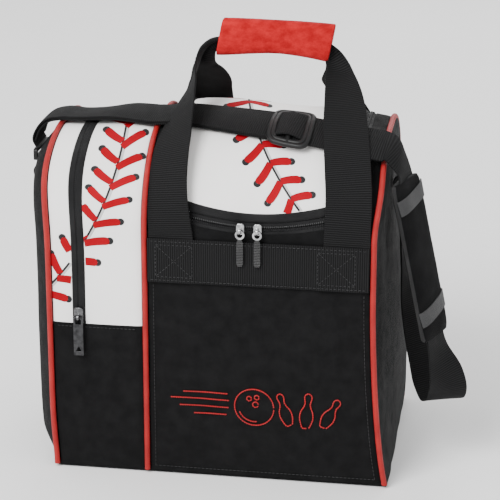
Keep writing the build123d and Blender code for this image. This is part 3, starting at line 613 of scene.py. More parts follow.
BLACK_PLASTIC = (0.003, 0.003, 0.0032)
MAT = {
    "body": woven(
        "body_cloth", (0.0032, 0.0032, 0.0034), (0.0054, 0.0054, 0.0057), 0.62, 0.00006, 0.01,
        (0.66, 0.82), 0.012, 0.09,
    ),
    "lining": woven("lining_cloth", (0.010, 0.010, 0.011), (0.02, 0.02, 0.021), 0.4, 0.00004, 0.05),
    "print": woven(
        "print_cloth", (0.87, 0.855, 0.84), (0.91, 0.895, 0.88), 0.5, 0.00003, 0.05, patch=0.06
    ),
    "print_red": woven(
        "print_red", (0.26, 0.0005, 0.006), (0.31, 0.001, 0.009), 0.5, 0.00003, 0.0, specular=0.08
    ),
    "print_black": woven("print_black", (0.006, 0.006, 0.007), (0.014, 0.014, 0.015), 0.5, 0.00003, 0.03),
    "print_shadow": woven("print_shadow", (0.42, 0.415, 0.41), (0.58, 0.575, 0.57), 0.5, 0.00003, 0.03),
    "piping": woven(
        "piping_cloth", (0.25, 0.0025, 0.0035), (0.35, 0.006, 0.006), 0.7, 0.00006, 0.03,
        (0.42, 0.6), 0.02, 0.3,
    ),
    "thread_red": woven(
        "thread_red", (0.30, 0.002, 0.004), (0.46, 0.005, 0.007), 0.3, 0.00006, 0.05,
        (0.4, 0.6), specular=0.4,
    ),
    "thread_black": woven("thread_black", (0.012, 0.012, 0.013), (0.03, 0.03, 0.031), 0.3, 0.00004, 0.1),
    "tape": woven(
        "zip_tape_cloth", (0.0045, 0.0045, 0.005), (0.010, 0.010, 0.0105), 0.45, 0.00007, 0.02,
        (0.5, 0.75), specular=0.15,
    ),
    "pad": woven(
        "pad_mesh_cloth", (0.0028, 0.0028, 0.003), (0.0065, 0.0065, 0.007), 1.3, 0.0003, 0.01,
        (0.8, 0.95), specular=0.08,
    ),
    "reflective": woven(
        "grey_band_cloth", (0.022, 0.022, 0.023), (0.036, 0.036, 0.037), 0.5, 0.00005, 0.02,
        (0.45, 0.6), specular=0.25,
    ),
    "binding": woven("binding_cloth", (0.005, 0.005, 0.0053), (0.012, 0.012, 0.0125), 0.6, 0.0001, 0.02),
    # the lighter webbing colour is painted on the rib crests as a highlight, and in the mottle
    "webbing": webbing_cloth("webbing_cloth", (0.0010, 0.0010, 0.0011), (0.0135, 0.0135, 0.0142)),
    "grip": suede(),
    "plastic": moulded_plastic("black_plastic", BLACK_PLASTIC, (0.006, 0.006, 0.0063), 0.42),
    "coil": moulded_plastic("coil_nylon", (0.008, 0.008, 0.0085), (0.016, 0.016, 0.017), 0.32),
    "rubber": moulded_plastic("pull_rubber", BLACK_PLASTIC, (0.007, 0.007, 0.0075), 0.36, depth=0.0001),
    "foam": moulded_plastic("cup_foam", (0.02, 0.02, 0.021), (0.045, 0.045, 0.047), 0.85, 0.0016, 0.0004),
    "board": moulded_plastic("base_board_grain", (0.02,) * 3, (0.045,) * 3, 0.55, depth=0.0001),
    "silver": metal("slider_plating", (0.46, 0.46, 0.465), (0.20, 0.20, 0.205), 0.16),
    "dark_silver": metal("dark_slider_plating", (0.13, 0.13, 0.133), (0.06, 0.06, 0.062), 0.22),
    "gunmetal": metal("pull_gunmetal", (0.055, 0.055, 0.057), (0.025, 0.025, 0.026), 0.3),
    "black_metal": metal("ring_black", (0.03, 0.03, 0.031), (0.06, 0.06, 0.062), 0.3),
}

# ---------------------------------------------------------------- lid outline

STEP = 3.0               # usual distance between mesh lines on the shell


def lid_edge(grow):
    """x and s of the lid's front edge with its rounded corners, grown outwards, left to right."""
    half = LID_HALF + grow
    v_mid = LID_FRONT_V - grow
    big = (half ** 2 + LID_SAG ** 2) / (2 * LID_SAG)
    small = LID_CORNER + grow
    corner_x = half - small
    corner_v = v_mid + big - math.sqrt((big - small) ** 2 - corner_x ** 2)
    swing = math.atan2(corner_x, v_mid + big - corner_v)
    turn = np.linspace(-HALF_PI, -swing, 14)[:-1]
    left = stack(-corner_x + small * np.sin(turn), corner_v - small * np.cos(turn))
    sweep = np.linspace(-swing, swing, 56)
    arc = stack(big * np.sin(sweep), v_mid + big - big * np.cos(sweep))
    line = np.concatenate([left, arc, left[::-1] * (-1, 1)])
    table = np.linspace(S_CORNER - 60, S_BACK, 400)
    y, z = side(table)[:2]
    s = np.interp(line[:, 1], (y + z) / math.sqrt(2), table)
    return LID_X + line[:, 0], s


def border_lines(grows):
    """x and s grids of lines round the lid, one column for each growth, hinge to hinge."""
    lines = []
    front_s = lid_edge(grows[0])[1][0]
    share = (span(S_HINGE, front_s, STEP)[:-1] - front_s) / (S_HINGE - front_s)
    for grow in grows:
        x, s = lid_edge(grow)
        climb = s[0] + share * (S_HINGE - s[0])
        along = np.concatenate([0 * climb + x[0], x, 0 * climb + x[-1]])
        lines.append(stack(along, np.concatenate([climb, s, climb[::-1]])))
    return crossed(lines)


def border_piece(name, grows, rises, thick, material):
    """A moulded or woven strip round the lid; rises gives its height at each growth."""
    x, s = border_lines(grows)
    heights = {}
    for column, height in enumerate(rises):
        heights.update({spot_key(*spot): height for spot in zip(x[:, column], s[:, column])})

    def place(u, v):
        return skin(u, v, rise=np.array([heights[spot_key(*spot)] for spot in zip(u, v)]))

    return solid_sheet(name, [(x, s)], place, thick, material)


# ---------------------------------------------------------------- shell panels

PRINT_STEP = 2.5
WALL = 2.6
PRINT_CREASE = 0.35      # the printed cloth is stiffer and lies smoother


def panel(name, x_from, x_to, s_from, s_to, material, crease, step=STEP):
    """One soft rectangular panel of the shell."""
    patch = grid(span(x_from, x_to, step), span(s_from, s_to, step))
    return solid_sheet(name, [patch], lambda u, v: skin(u, v, 0, crease), WALL, material)


def front_panel():
    """The ball compartment's front, with the strips beside the lid in one piece with it."""
    edge_x, edge_s = lid_edge(OPEN_GROW)
    shares = np.linspace(0, 1, 76)
    below = filled(edge_x, FOOT, edge_s, shares)
    sides = []
    for x_out, x_in in ((MAIN_LEFT, edge_x[0]), (edge_x[-1], MAIN_RIGHT)):
        low = FOOT + (edge_s[0] - FOOT) * shares
        high = span(edge_s[0], S_HINGE, STEP)
        sides.append(grid(span(x_out, x_in, 1.6), np.concatenate([low, high[1:]])))
    return solid_sheet("front_shell", [below, *sides], lambda u, v: skin(u, v, 0, 1.0), WALL, MAT["body"])


def lid_top():
    """The printed lid."""
    x, s = lid_edge(0)
    patch = filled(x, s, S_HINGE - 0.6, np.linspace(0, 1, 84))
    return solid_sheet("lid_shell", [patch], lambda u, v: skin(u, v, 0, PRINT_CREASE), WALL, MAT["print"])


finish_piece(front_panel(), "bag", "body_fabric", "front_panel", "top_strip_left", "top_strip_right")
finish_piece(lid_top(), "lid", "print_fabric", "lid_panel")
MAIN, POCKET = (MAIN_LEFT, MAIN_RIGHT), (POCKET_LEFT, POCKET_RIGHT)
for name, ends, s_from, s_to, crease, node in (
    ("back_shell", MAIN, S_HINGE + 1.2, S_END - FOOT, 1.0, "back_panel"),
    ("pocket_lower_front", POCKET, FOOT, PRINT_LOW - CLEAR, 0.8, "pocket_front_lower"),
    ("pocket_back_shell", POCKET, S_PRINT_END + CLEAR, S_END - FOOT, 1.0, "pocket_back_panel"),
):
    finish_piece(panel(name, *ends, s_from, s_to, MAT["body"], crease), "bag", "body_fabric", node)
for name, x_from, x_to, node in (
    ("pocket_print_strip", POCKET_LEFT, ZIP_LEFT, "pocket_print_left"),
    ("pocket_print_main", ZIP_RIGHT, POCKET_RIGHT, "pocket_print_right"),
):
    made = panel(name, x_from, x_to, PRINT_LOW, S_PRINT_END, MAT["print"], PRINT_CREASE, PRINT_STEP)
    finish_piece(made, "bag", "print_fabric", node)


def end_grid(inset):
    """A patch of (y, z) under the arch, inset from the shell's face."""
    half, radius = FRONT_Y - inset, CORNER - inset
    y = -half * np.cos(np.linspace(0, math.pi, 81))
    over = np.clip(np.abs(y) - ARC_Y, 0, radius)
    top = ARC_Z + np.sqrt(radius ** 2 - over ** 2)
    return filled(y, FOOT, top, np.linspace(0, 1, 96))


def arch_inset(y, z):
    """Distance inside the arch from its sides and top."""
    over = np.maximum(np.abs(y) - ARC_Y, 0)
    up = np.maximum(z - ARC_Z, 0)
    return CORNER - np.hypot(over, up)


def end_panel(name, seam_x, outward, swell, edge, material, seed, crease):
    """An end panel that swells outwards from its piped edge."""
    patch = end_grid(1.4)

    def place(y, z):
        near = np.sin(np.clip(arch_inset(y, z) / edge, 0, 1) * HALF_PI)
        low = np.sin(np.clip(z / (edge * 1.1), 0, 1) * HALF_PI)
        wrinkle = folds(y, z, seed, 48, 90) * 1.3 + folds(y, z, seed + 4, 17, 40) * 0.4
        x = seam_x + outward * (swell * near * low + crease * wrinkle * near)
        return soften(stack(x, y, z)), (outward, 0, 0)

    return solid_sheet(name, [patch], place, WALL, material)


PUFF = 19.0              # how far the stuffed pocket's end stands out
for name, seam_x, outward, swell, edge, look, seed, crease, node in (
    ("pocket_end_shell", LEFT - 0.5, -1, PUFF, 34.0, "body", 5.3, 0.7, "left_side_panel"),
    ("right_end_shell", RIGHT + 2.4, 1, 2.6, 30.0, "body", 9.7, 1.0, "right_side_panel"),
    ("divider_shell", DIVIDER + 1.3, 1, 0.6, 30.0, "lining", 2.2, 0.4, "divider_panel"),
):
    made = end_panel(name, seam_x, outward, swell, edge, MAT[look], seed, crease)
    finish_piece(made, "bag", "body_fabric", node)


BASE_THICK = 2.8
BASE_TURN = 6            # width of the base's turned-up edge
BASE_LIFT = 1.6          # and how far it comes up


def base_piece():
    """The sewn base with its turned-up edge."""
    x0, x1 = LEFT + 1.0, RIGHT + 2.0
    y0 = FRONT_Y - 0.6
    patch = grid(span(x0, x1, 6), span(-y0, y0, 6))

    def place(x, y):
        edge = np.minimum(np.minimum(x - x0, x1 - x), y0 - np.abs(y))
        lift = BASE_LIFT * (1 - np.sin(np.clip(edge / BASE_TURN, 0, 1) * HALF_PI))
        return soften(stack(x, y, lift)), (0, 0, -1)

    return solid_sheet("base_shell", [patch], place, BASE_THICK, MAT["body"])


finish_piece(base_piece(), "bag", "body_fabric", "base_panel")


BALL_R = 108.0
CUP_FLOOR = 4


def cup_piece():
    """Foam cup turned round the ball's axis."""
    centre = middle("ball_cup")
    outer = extent("ball_cup", X)[1] - centre
    low, high = extent("ball_cup", Z)
    bed = low + CUP_FLOOR + BALL_R
    rim = math.sqrt(BALL_R ** 2 - (bed - high) ** 2)
    shares = np.array([0.1, 0.3, 0.6, 0.85, 0.97, 1, 1, 1, 0.97])
    drop = np.array([0.2, 0, 0, 0.5, 2.4, 5, 12, 18.5, 21.4])    # rolled rim, then the outer wall
    bowl = np.linspace(0.5, rim, 22)
    radii = np.concatenate([bowl, rim + (outer - rim) * shares])[:, None]
    heights = np.concatenate([bed - np.sqrt(BALL_R ** 2 - bowl ** 2), high - drop])[:, None]
    angles = ring_angles(96)
    flat = stack(radii * np.cos(angles), radii * np.sin(angles))
    return loft("ball_seat", stack(centre + flat[..., X], flat[..., Y], heights), flat, MAT["foam"], first=1)


finish_piece(cup_piece(), "bag", "foam", "ball_cup")

# ---------------------------------------------------------------- piping


def piping(name, seam):
    """Wrapped cord along one seam, up the front, over and down the back."""
    s = span(FOOT + 0.2, S_END - FOOT - 0.2, 3.0)
    angles = ring_angles(14)
    radius = PIPE_SEEN * (1 + 0.03 * folds(s, s * 0, seam, 9, 1))[:, None]
    s = s[:, None]
    rings = raised(seam + radius * np.cos(angles), s, 0.5 + crown(seam, s) + radius * np.sin(angles))
    soft = soften(rings.reshape(-1, 3)).reshape(rings.shape)
    return loft(name, soft, stack(angles * PIPE_R, s), MAT["piping"], first=3)


for seam_name, seam_x in (("left", LEFT), ("divider", DIVIDER), ("right", RIGHT)):
    finish_piece(piping(f"piping_cord_{seam_name}", seam_x), "bag", "piping", f"piping_{seam_name}")

# ---------------------------------------------------------------- lid welt and zippers

for name, grows, rises, thick, body, node in (
    ("lid_welt_roll", [-0.6, 0.4, 1.4, 3.0, 4.8, 6.0, WELT], [0.2, 1.0, 1.7, 2.1, 1.7, 0.9, 0.0], 2.6,
     "lid", "lid_welt"),
    ("lid_tape", [WELT + 0.2, WELT + 1.2, LID_TAPE - CLEAR], [-0.6, -0.2, 0.1], 1.2, "lid", "lid_zip_tape"),
    ("bag_tape", [LID_TAPE + CLEAR, BAG_TAPE - 1.0, BAG_TAPE + 0.6], [0.1, -0.1, -0.3], 1.2,
     "bag", "bag_zip_tape"),
):
    finish_piece(border_piece(name, grows, rises, thick, MAT["tape"]), body, "zip_tape", node)


TOOTH_PITCH = 1.9
TOOTH_RADII = (0.4, 0.5, 0.5, 0.35)


def zip_teeth(name, x, s, cross_x, cross_s, rise, body, node):
    """Coil teeth on one side of a zipper: short bent bars across the closing line."""
    parts = []
    line, _ = skin(x, s, rise)
    length = run_length(line)
    for at in np.arange(1.0, length[-1], TOOTH_PITCH):
        shares = np.array([-0.1, 0.35, 0.75, 1.0])
        tooth_x = np.interp(at, length, x) + shares * np.interp(at, length, cross_x)
        tooth_s = np.interp(at, length, s) + shares * np.interp(at, length, cross_s)
        lifts = rise + np.array([-0.3, 0.45, 0.45, -0.2])
        points, _ = skin(tooth_x, tooth_s, lifts)
        parts.append(tube_parts(points, TOOTH_RADII, sides=5))
    return finish_piece(joined(name, parts, MAT["coil"]), body, "zip_coil", node)


def teeth_beside_lid(name, grow, toward, body, node):
    x, s = border_lines([grow, toward])
    return zip_teeth(name, x[:, 0], s[:, 0], x[:, 1] - x[:, 0], s[:, 1] - s[:, 0], 0.5, body, node)


teeth_beside_lid("lid_coil_teeth", LID_TAPE - 1.5, LID_TAPE + 0.1, "lid", "lid_zip_coil")
teeth_beside_lid("bag_coil_teeth", LID_TAPE + CLEAR + 1.5, LID_TAPE + CLEAR - 0.1, "bag", "bag_zip_coil")

ZIP_MID = (ZIP_LEFT + ZIP_RIGHT) / 2


def pocket_tapes():
    """Two rolled tape edges that meet over the pocket's reversed coil."""
    half = np.array([0.3, 0.9, 2.0, 3.6, 4.9, 6.0, 6.6])
    lifts = np.array([0.5, 1.5, 1.7, 1.3, 1.5, 0.9, -0.2])
    offsets, lifts = np.concatenate([-half[::-1], half]), np.concatenate([lifts[::-1], lifts])
    patch = grid(ZIP_MID + offsets, span(PRINT_LOW + 0.2, S_PRINT_END, PRINT_STEP))

    def place(u, v):
        return skin(u, v, np.interp(u - ZIP_MID, offsets, lifts))

    return solid_sheet("pocket_zip_rolls", [patch], place, 2.4, MAT["tape"])


finish_piece(pocket_tapes(), "bag", "zip_tape", "pocket_zip_tape")
coil_s = span(PRINT_LOW + 6, S_PRINT_END - 4, 2.0)
zip_teeth("pocket_coil_teeth", np.full_like(coil_s, ZIP_MID - 0.9), coil_s, np.full_like(coil_s, 1.8),
          np.zeros_like(coil_s), 0.35, "bag", "pocket_zip_coil")


BINDING_HALF = 6.0


def edge_binding():
    """Binding over the lid's hinge seam."""
    x = span(LID_X - LID_HALF - BINDING_HALF, LID_X + LID_HALF + BINDING_HALF, 3)
    patch = grid(x, S_HINGE + np.linspace(-BINDING_HALF, BINDING_HALF, 13))

    def place(u, v):
        return skin(u, v, 0.35 + 0.9 * np.cos((v - S_HINGE) / BINDING_HALF * HALF_PI))

    return solid_sheet("lid_hinge_binding", [patch], place, 1.0, MAT["tape"])


hinge_binding = edge_binding()
bend_from, bend_to = (Vector(raised(0.0, S_HINGE + hand * BINDING_HALF, 0)) * MM for hand in (1, -1))
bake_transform(hinge_binding)
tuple(bend_from)
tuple(bend_to)

# ---------------------------------------------------------------- printed seam


def arc_spot(centre, radius, angle):
    return np.array([centre[0] + radius * math.cos(angle), centre[1] + radius * math.sin(angle)])


def flat_strip(line, half):
    """Patch of a narrow strip along a flat (x, s) line."""
    line = np.asarray(line, float)
    run = unit(np.gradient(line, axis=0))
    out = stack(-run[:, 1], run[:, 0])
    return crossed([line + out * half * k for k in (-1, 0, 1)])


def stitch_patch(root, direction, length, start, stop):
    """Patch of one fat printed stitch between two lengths along it, rounded at its tip."""
    sideways = np.array([-direction[1], direction[0]])
    near_tip = stop - (stop - start) * np.array([0.01, 0.03, 0.06])
    along = np.unique(np.concatenate([np.linspace(start, stop, 14), near_tip]))
    share = along / length
    tip = TIP_LONG / length
    body = 0.84 + 0.16 * np.sin(np.clip(share * 1.3, 0, 1) * HALF_PI)
    cap = np.sqrt(np.clip(1 - (np.clip(share - (1 - tip), 0, None) / tip) ** 2, 0, 1))
    half = STITCH_WIDE / 2 * body * cap
    bow = 0.9 * np.sin(np.clip(share, 0, 1) * math.pi)
    centre = root + np.outer(along, direction) + np.outer(bow, sideways)
    return crossed([centre + sideways * (half * k)[:, None] for k in np.linspace(-1, 1, 5)])


def dot_patch(centre, radius):
    """Patch of a round dot."""
    turn = np.linspace(0, 2 * math.pi, 17)
    reach = np.array([0.05, 0.6, 1.0]) * radius
    return centre[0] + np.outer(np.cos(turn), reach), centre[1] + np.outer(np.sin(turn), reach)


SEEN_X, SEEN_Z = 0.158, 0.353      # how far deeper places slip sideways and up, seen from the front
SLACKEST = 0.6                     # the artwork is stretched no further than this


def artwork_table():
    """Heights in the flat artwork for surface lengths over the front and top."""
    s = np.linspace(0, S_DOWN, 600)
    y, z = side(s)[:2]
    seen = np.maximum(np.gradient(z + SEEN_Z * y, s), SLACKEST)
    return s, y, np.concatenate([[0], np.cumsum(seen[1:] * np.diff(s))])


ART_S, ART_Y, ART_HEIGHT = artwork_table()


def on_cloth(x, height):
    """Flat artwork laid over the bent top, stretched there so that it looks unbent from the front."""
    s = np.interp(height, ART_HEIGHT, ART_S)
    return x - SEEN_X * (np.interp(s, ART_S, ART_Y) + FRONT_Y), s


def printed(name, patches, lift, body, look):
    """Thin print laid on the skin."""

    def place(u, v):
        return skin(*on_cloth(u, v), lift, PRINT_CREASE)

    finish_piece(solid_sheet(name, patches, place, PRINT_THICK, MAT[look]), body, "print_fabric")


STITCH_WIDE = 7.9
TIP_LONG = 3.4           # length of a printed stitch's round tip
HOLE_R = STITCH_WIDE * 0.46
PRINT_THICK = 0.25
PRINT_LIFT = 0.3


def inside_runs(spots, inside):
    """Stretches of a line of spots that lie inside, as pairs of first and last index."""
    runs, start = [], None
    for k, spot in enumerate([*spots, None]):
        good = spot is not None and inside(*on_cloth(*spot))
        if good and start is None:
            start = k
        elif not good and start is not None:
            if k - 1 > start:
                runs.append((start, k - 1))
            start = None
    return runs


def ball_seam(prefix, body, centre, radius, angles, step, leans, reaches, inside, lead=0.0):
    """A ball's sewn seam on the arc of a circle: line, shadow and paired stitches.

    For each of the two stitches of a pair, leans gives a direction in degrees and how fast it
    turns along the arc, and reaches its length; lead sets the first stitch further along.
    """
    turn = np.linspace(*angles, 160)
    line = np.array([arc_spot(centre, radius, a) for a in turn])
    runs = inside_runs(line, inside)
    for part, shift, half, lower in (("shadow", (1.6, -0.3), 1.7, 0.12), ("line", (0, 0), 1.0, 0.05)):
        strips = [flat_strip(line[a:b + 1] + shift, half) for a, b in runs]
        look = "print_shadow" if part == "shadow" else "print_black"
        printed(f"{prefix}_seam_{part}", strips, PRINT_LIFT - lower, body, look)
    stitches, holes = [], []
    for k, angle in enumerate(np.arange(*angles, step)):
        for hand in (0, 1):
            root = arc_spot(centre, radius, angle + (0 if hand else lead))
            base, swing = leans[hand]
            lean = math.radians(base + swing * math.degrees(angle) + 2.5 * math.sin(2.1 * k))
            direction = np.array([math.cos(lean), math.sin(lean)])
            length = reaches[hand]
            steps = np.linspace(0.3, length, 50)
            for a, b in inside_runs([root + direction * t for t in steps], inside):
                stitches.append(stitch_patch(root, direction, length, steps[a], steps[b]))
                if b == len(steps) - 1:
                    holes.append(dot_patch(root + direction * (length + 0.3), HOLE_R))
    printed(f"{prefix}_stitch_holes", holes, PRINT_LIFT - 0.02, body, "print_black")
    printed(f"{prefix}_stitches", stitches, PRINT_LIFT + 0.12, body, "print_red")


lid_x, lid_s = lid_edge(-0.5)


def on_pocket(x, s):
    on_print = LEFT + 1.5 < x < DIVIDER - 2.0 and PRINT_LOW + 1 < s < S_PRINT_END - 2
    return on_print and not ZIP_LEFT - 0.5 < x < ZIP_RIGHT + 0.5


def on_lid(x, s):
    return lid_x[0] < x < lid_x[-1] and np.interp(x, lid_x, lid_s) < s < S_HINGE - 6


ball_seam(
    "pocket", "bag", (-371.3, 383.7), 282.0, np.radians((-50.05, 32)), math.radians(4.6),
    ((144.5, 0.68), (49.0, 1.33)), (21.5, 26.5), on_pocket, lead=math.radians(1.3),
)
ball_seam(
    "lid", "lid", (246.5, 416.5), 216.6, np.radians((150.8, 222)), math.radians(5.4),
    ((-59.3, 1.45), (-170.5, 0.86)), (24.5, 20.0), on_lid,
)

# ---------------------------------------------------------------- front and back bands

WEB = 1.6
BAND_LOW, BAND_HIGH = extent("front_band", Z)
BAND_S = (BAND_LOW + BAND_HIGH) / 2
BAND_WIDE = BAND_HIGH - BAND_LOW
BAND_LIFT = CLEAR + WEB + CLEAR + WEB / 2
HANDLE_X = middle("grip_wrap")
LEG_X = 79.5             # middle of each handle leg from the handle's middle
LEG_WIDE = 43.0
LEG_THICK = 1.7


def band(name, s_mid):
    x = span(MAIN_LEFT + 0.3, MAIN_RIGHT - 0.3, RIB_STEP)
    over_leg = np.exp(-((np.abs(x - HANDLE_X) - LEG_X - 2) / 22) ** 8)
    centres, _ = skin(x, np.full_like(x, s_mid), rise=BAND_LIFT - 0.4 + 0.9 * over_leg)
    return ribbon(name, centres, (0, 0, -1 if s_mid > S_TOP else 1), BAND_WIDE, WEB, MAT["webbing"])


BAND_FACES = (("front", BAND_S), ("back", S_END - BAND_S))
for face_name, s_mid in BAND_FACES:
    finish_piece(band(f"{face_name}_band_webbing", s_mid), "bag", "webbing", f"{face_name}_band")


def box_stitch_lines(x_mid, s_mid, half_x, half_s):
    """Lines of a box with a cross in it, as pairs of corner points."""
    corners = [(x_mid + i * half_x, s_mid + j * half_s) for i, j in ((-1, -1), (1, -1), (1, 1), (-1, 1))]
    return [(corners[a], corners[b]) for a, b in ((0, 1), (1, 2), (2, 3), (3, 0), (0, 2), (1, 3))]


def sewn_lines(name, lines, rise, slot):
    """Thread stitches along straight lines in (x, s)."""
    parts = []
    for (x0, s0), (x1, s1) in lines:
        count = max(3, int(math.hypot(x1 - x0, s1 - s0) / 2))
        points, normals = skin(np.linspace(x0, x1, count), np.linspace(s0, s1, count), rise)
        parts += stitch_parts(points, normals)
    return finish_piece(joined(name, parts, MAT["thread_black"]), "bag", slot)


for face_name, s_mid in BAND_FACES:
    sewn = []
    for edge in (-1, 1):
        s_edge = s_mid + edge * (BAND_WIDE / 2 - 2.6)
        sewn.append(((MAIN_LEFT + 2, s_edge), (MAIN_RIGHT - 2, s_edge)))
    for leg in (-1, 1):
        sewn += box_stitch_lines(HANDLE_X + leg * LEG_X, s_mid, LEG_WIDE / 2 - 3.5, BAND_WIDE / 2 - 6)
    sewn_lines(f"{face_name}_band_stitching", sewn, BAND_LIFT + WEB / 2 + 0.4, "webbing")

# ---------------------------------------------------------------- carrying handle

GRIP_LOW_Z, GRIP_HIGH_Z = extent("grip_wrap", Z)
GRIP_Z = (GRIP_LOW_Z + GRIP_HIGH_Z) / 2
GRIP_HALF = 55.0
GRIP_DEEP = 17.0
LOOP_Y = 3.2
OVER_R = CORNER + 8.0     # the handle's legs bulge out over the shoulder strap


def leg_line(face):
    """Side view of a handle leg as rows of (y, z), from the band to the grip."""
    target_y, target_z = LOOP_Y + 0.6, GRIP_LOW_Z - 2
    reach = math.hypot(ARC_Y - target_y, target_z - ARC_Z)
    leave = math.atan2(ARC_Y - target_y, target_z - ARC_Z) - math.acos(OVER_R / reach)
    flush = CORNER + 2
    rows = [(ARC_Y + flush, z) for z in (BAND_LOW + 3, 226, ARC_Z)]
    for share in (0.2, 0.4, 0.6, 0.8, 1.0):
        lean = HALF_PI + (-leave - HALF_PI) * share
        radius = flush + (OVER_R - flush) * share
        rows.append((ARC_Y + radius * math.sin(lean), ARC_Z + radius * math.cos(lean)))
    last_y, last_z = rows[-1]
    for share in (0.2, 0.4, 0.55, 0.7, 0.82, 0.94):
        rows.append((last_y + (target_y - last_y) * share, last_z + (target_z - last_z) * share))
    return [(face * y, z) for y, z in rows]


# For each leg: its face, then rows of (height, x, width, turn in degrees, cupping) up to the grip,
# then rows of (y, z, x, width, turn, cupping) for its end inside the grip.
LEGS = {
    "front_left": (-1, [
        (204, -45, 44, 0, 0), (250, -45.5, 43.5, 4, 0), (291, -49.5, 43, 21, 0), (321, -49.5, 43, 34, 0.5),
        (345, -47.5, 43, 55, 1), (362, -43.5, 42, 70, 1), (375, -41, 40, 78, 2), (387, -40, 33, 82, 3),
        (396, -39, 25, 84, 4),
    ], [(-3, 405, -35, 19, 86, 4), (-1, 412, -27, 14, 88, 3), (0, 416, -12, 10, 90, 2)]),
    "front_right": (-1, [
        (204, 122, 44, 0, 0), (250, 122.5, 44, 0, 0), (291, 123, 43.5, 0, 0), (321, 119.3, 43.5, 0, 0),
        (337, 115.6, 43, 0, 0.5), (357, 111.8, 41, 0, 1.5), (367, 109.6, 38, 0, 2), (379, 105.7, 33, 0, 3),
        (394, 99.7, 22, 0, 5),
    ], [(-4, 402, 95, 17, 0, 5), (-3, 410, 88, 12, 0, 3)]),
    "rear_left": (1, [
        (204, -42, 44, 0, 0), (250, -42, 43, 0, 0), (317, -38, 43, 0, 0), (350, -34.4, 42, 0, 0.5),
        (365, -30.4, 37.5, 0, 1), (374, -30.5, 33, 0, 2), (382, -33.5, 25, 0, 3), (392, -31, 17, 0, 4),
    ], [(4, 404, -27, 14, 0, 4), (3, 411, -17, 11, 0, 3)]),
    "rear_right": (1, [
        (204, 117, 44, 0, 0), (250, 117, 43, 0, 0), (317, 108, 40, 15, 0), (350, 99.5, 37, 25, 0.5),
        (365, 96, 37, 20, 1), (374, 94, 27, 10, 2), (382, 93, 17, 0, 2), (392, 92, 12, 0, 2),
    ], [(4, 402, 90, 11, 0, 2), (3, 410, 86, 10, 0, 2)]),
}


def handle_leg(leg_name):
    """Ribbon data of one leg, ending inside the grip."""
    face, shape, tail = LEGS[leg_name]
    heights, *looks = np.transpose(shape)
    path = [(y, z, *(np.interp(z, heights, look) for look in looks)) for y, z in leg_line(face)]
    y, z, x, wide, turn, bow = np.transpose(path + tail)
    turn = np.radians(turn)
    rows = spline(stack(x, y, z, np.cos(turn), -np.sin(turn), 0.0, wide, -face * bow), RIB_STEP)
    return ribbon_parts(rows[:, :3], rows[:, 3:6], rows[:, 6], LEG_THICK, rows[:, 7])


for loop_name, face, body in (("front", -1, "front_handle"), ("rear", 1, "rear_handle")):
    legs = [handle_leg(f"{loop_name}_{hand}") for hand in ("left", "right")]
    loop = joined(f"{loop_name}_handle_webbing", legs, MAT["webbing"])
    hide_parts(f"{loop_name}_handle_strap", f"{loop_name}_strap_ends")
    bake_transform(loop)


GRIP_SHEAR = 0.19        # the hanging wrap leans to the right towards its top
FLAT_SIDES, FLAT_ENDS = 0.75, 0.62      # lower powers give a boxier section


def grip_piece():
    """The padded wrap: a soft sleeve, fuller in the middle, its lower edge lifted between the ends."""
    hem = np.array([GRIP_HALF, GRIP_HALF, GRIP_HALF - 0.8])
    x = np.concatenate([-hem, np.linspace(2 - GRIP_HALF, GRIP_HALF - 2, 74), hem[::-1]])
    pull_in = np.concatenate([[0.8, 0.93, 0.99], np.ones(74), [0.99, 0.93, 0.8]])
    angles = ring_angles(56)
    points, uv = [], []
    for position, shrink in zip(x, pull_in):
        t = position / GRIP_HALF
        top = GRIP_HIGH_Z - 1.0 + 0.8 * math.cos(t * HALF_PI) - 1.4 * t
        bottom = GRIP_LOW_Z - 2.0 + 5.0 * math.cos(t * HALF_PI) ** 1.3
        bottom += (1.5 if t < 0 else -1.5) * abs(t) ** 3
        deep = GRIP_DEEP / 2 * (1.0 - 0.10 * math.cos(t * math.pi) ** 2) * shrink
        tall = (top - bottom) / 2 * shrink
        for angle in angles:
            c, s = math.cos(angle), math.sin(angle)
            y = deep * math.copysign(abs(c) ** FLAT_SIDES, c)
            z = (top + bottom) / 2 + tall * math.copysign(abs(s) ** FLAT_ENDS, s)
            crease = noise.noise(Vector((position / 15, angle * 1.6, 2.3))) * 0.8
            crease += noise.noise(Vector((position / 5, angle * 3.0, 6.1))) * 0.25
            spread = 1 + crease * 0.045
            lean = GRIP_SHEAR * (z - GRIP_Z)
            points.append((HANDLE_X + 1 + position + lean, y * spread, z + crease * 0.25))
            uv.append((position, angle * 12))
    faces = ring_faces(len(x), len(angles))
    return make_object("grip_sleeve", points, faces, uv, MAT["grip"])


finish_piece(grip_piece(), "front_handle", "grip_fabric", "grip_wrap", "grip_flap")

# ---------------------------------------------------------------- shoulder strap

STRAP = 1.8
STRAP_RISE = 4.2
RETURN_RISE = 2.1        # the strap's return lies below it
RETURN_END = 46.0        # and ends under the tri-glide
STRAP_WIDE = 39.0
STRAP_SLOPE = -0.178
LID_STRAP_FROM, LID_STRAP_TO = -51.5, 136.5


def strap_y(x):
    return -40.5 + STRAP_SLOPE * np.asarray(x, float)


def top_strap(x_from, x_to, rise):
    """Centres and across directions of the slanting strap; its rear edge stands up a little."""
    x = span(x_from, x_to, RIB_STEP)
    s = path_length(strap_y(x))
    tilt = 0.10 * ease((x + 130) / 50) * (1 - ease((x - 60) / 60)) + 0.05 * np.exp(-(((x + 105) / 22) ** 2))
    lift = rise + STRAP / 2 + 17 * tilt
    ny, nz = side(s)[2:]
    sag = 4.5 * ease((-40 - x) / 40) + 5 * ease((-100 - x) / 60)
    return soften(raised(x, s, lift), sag), stack(-STRAP_SLOPE, nz + tilt * ny, tilt * nz - ny)


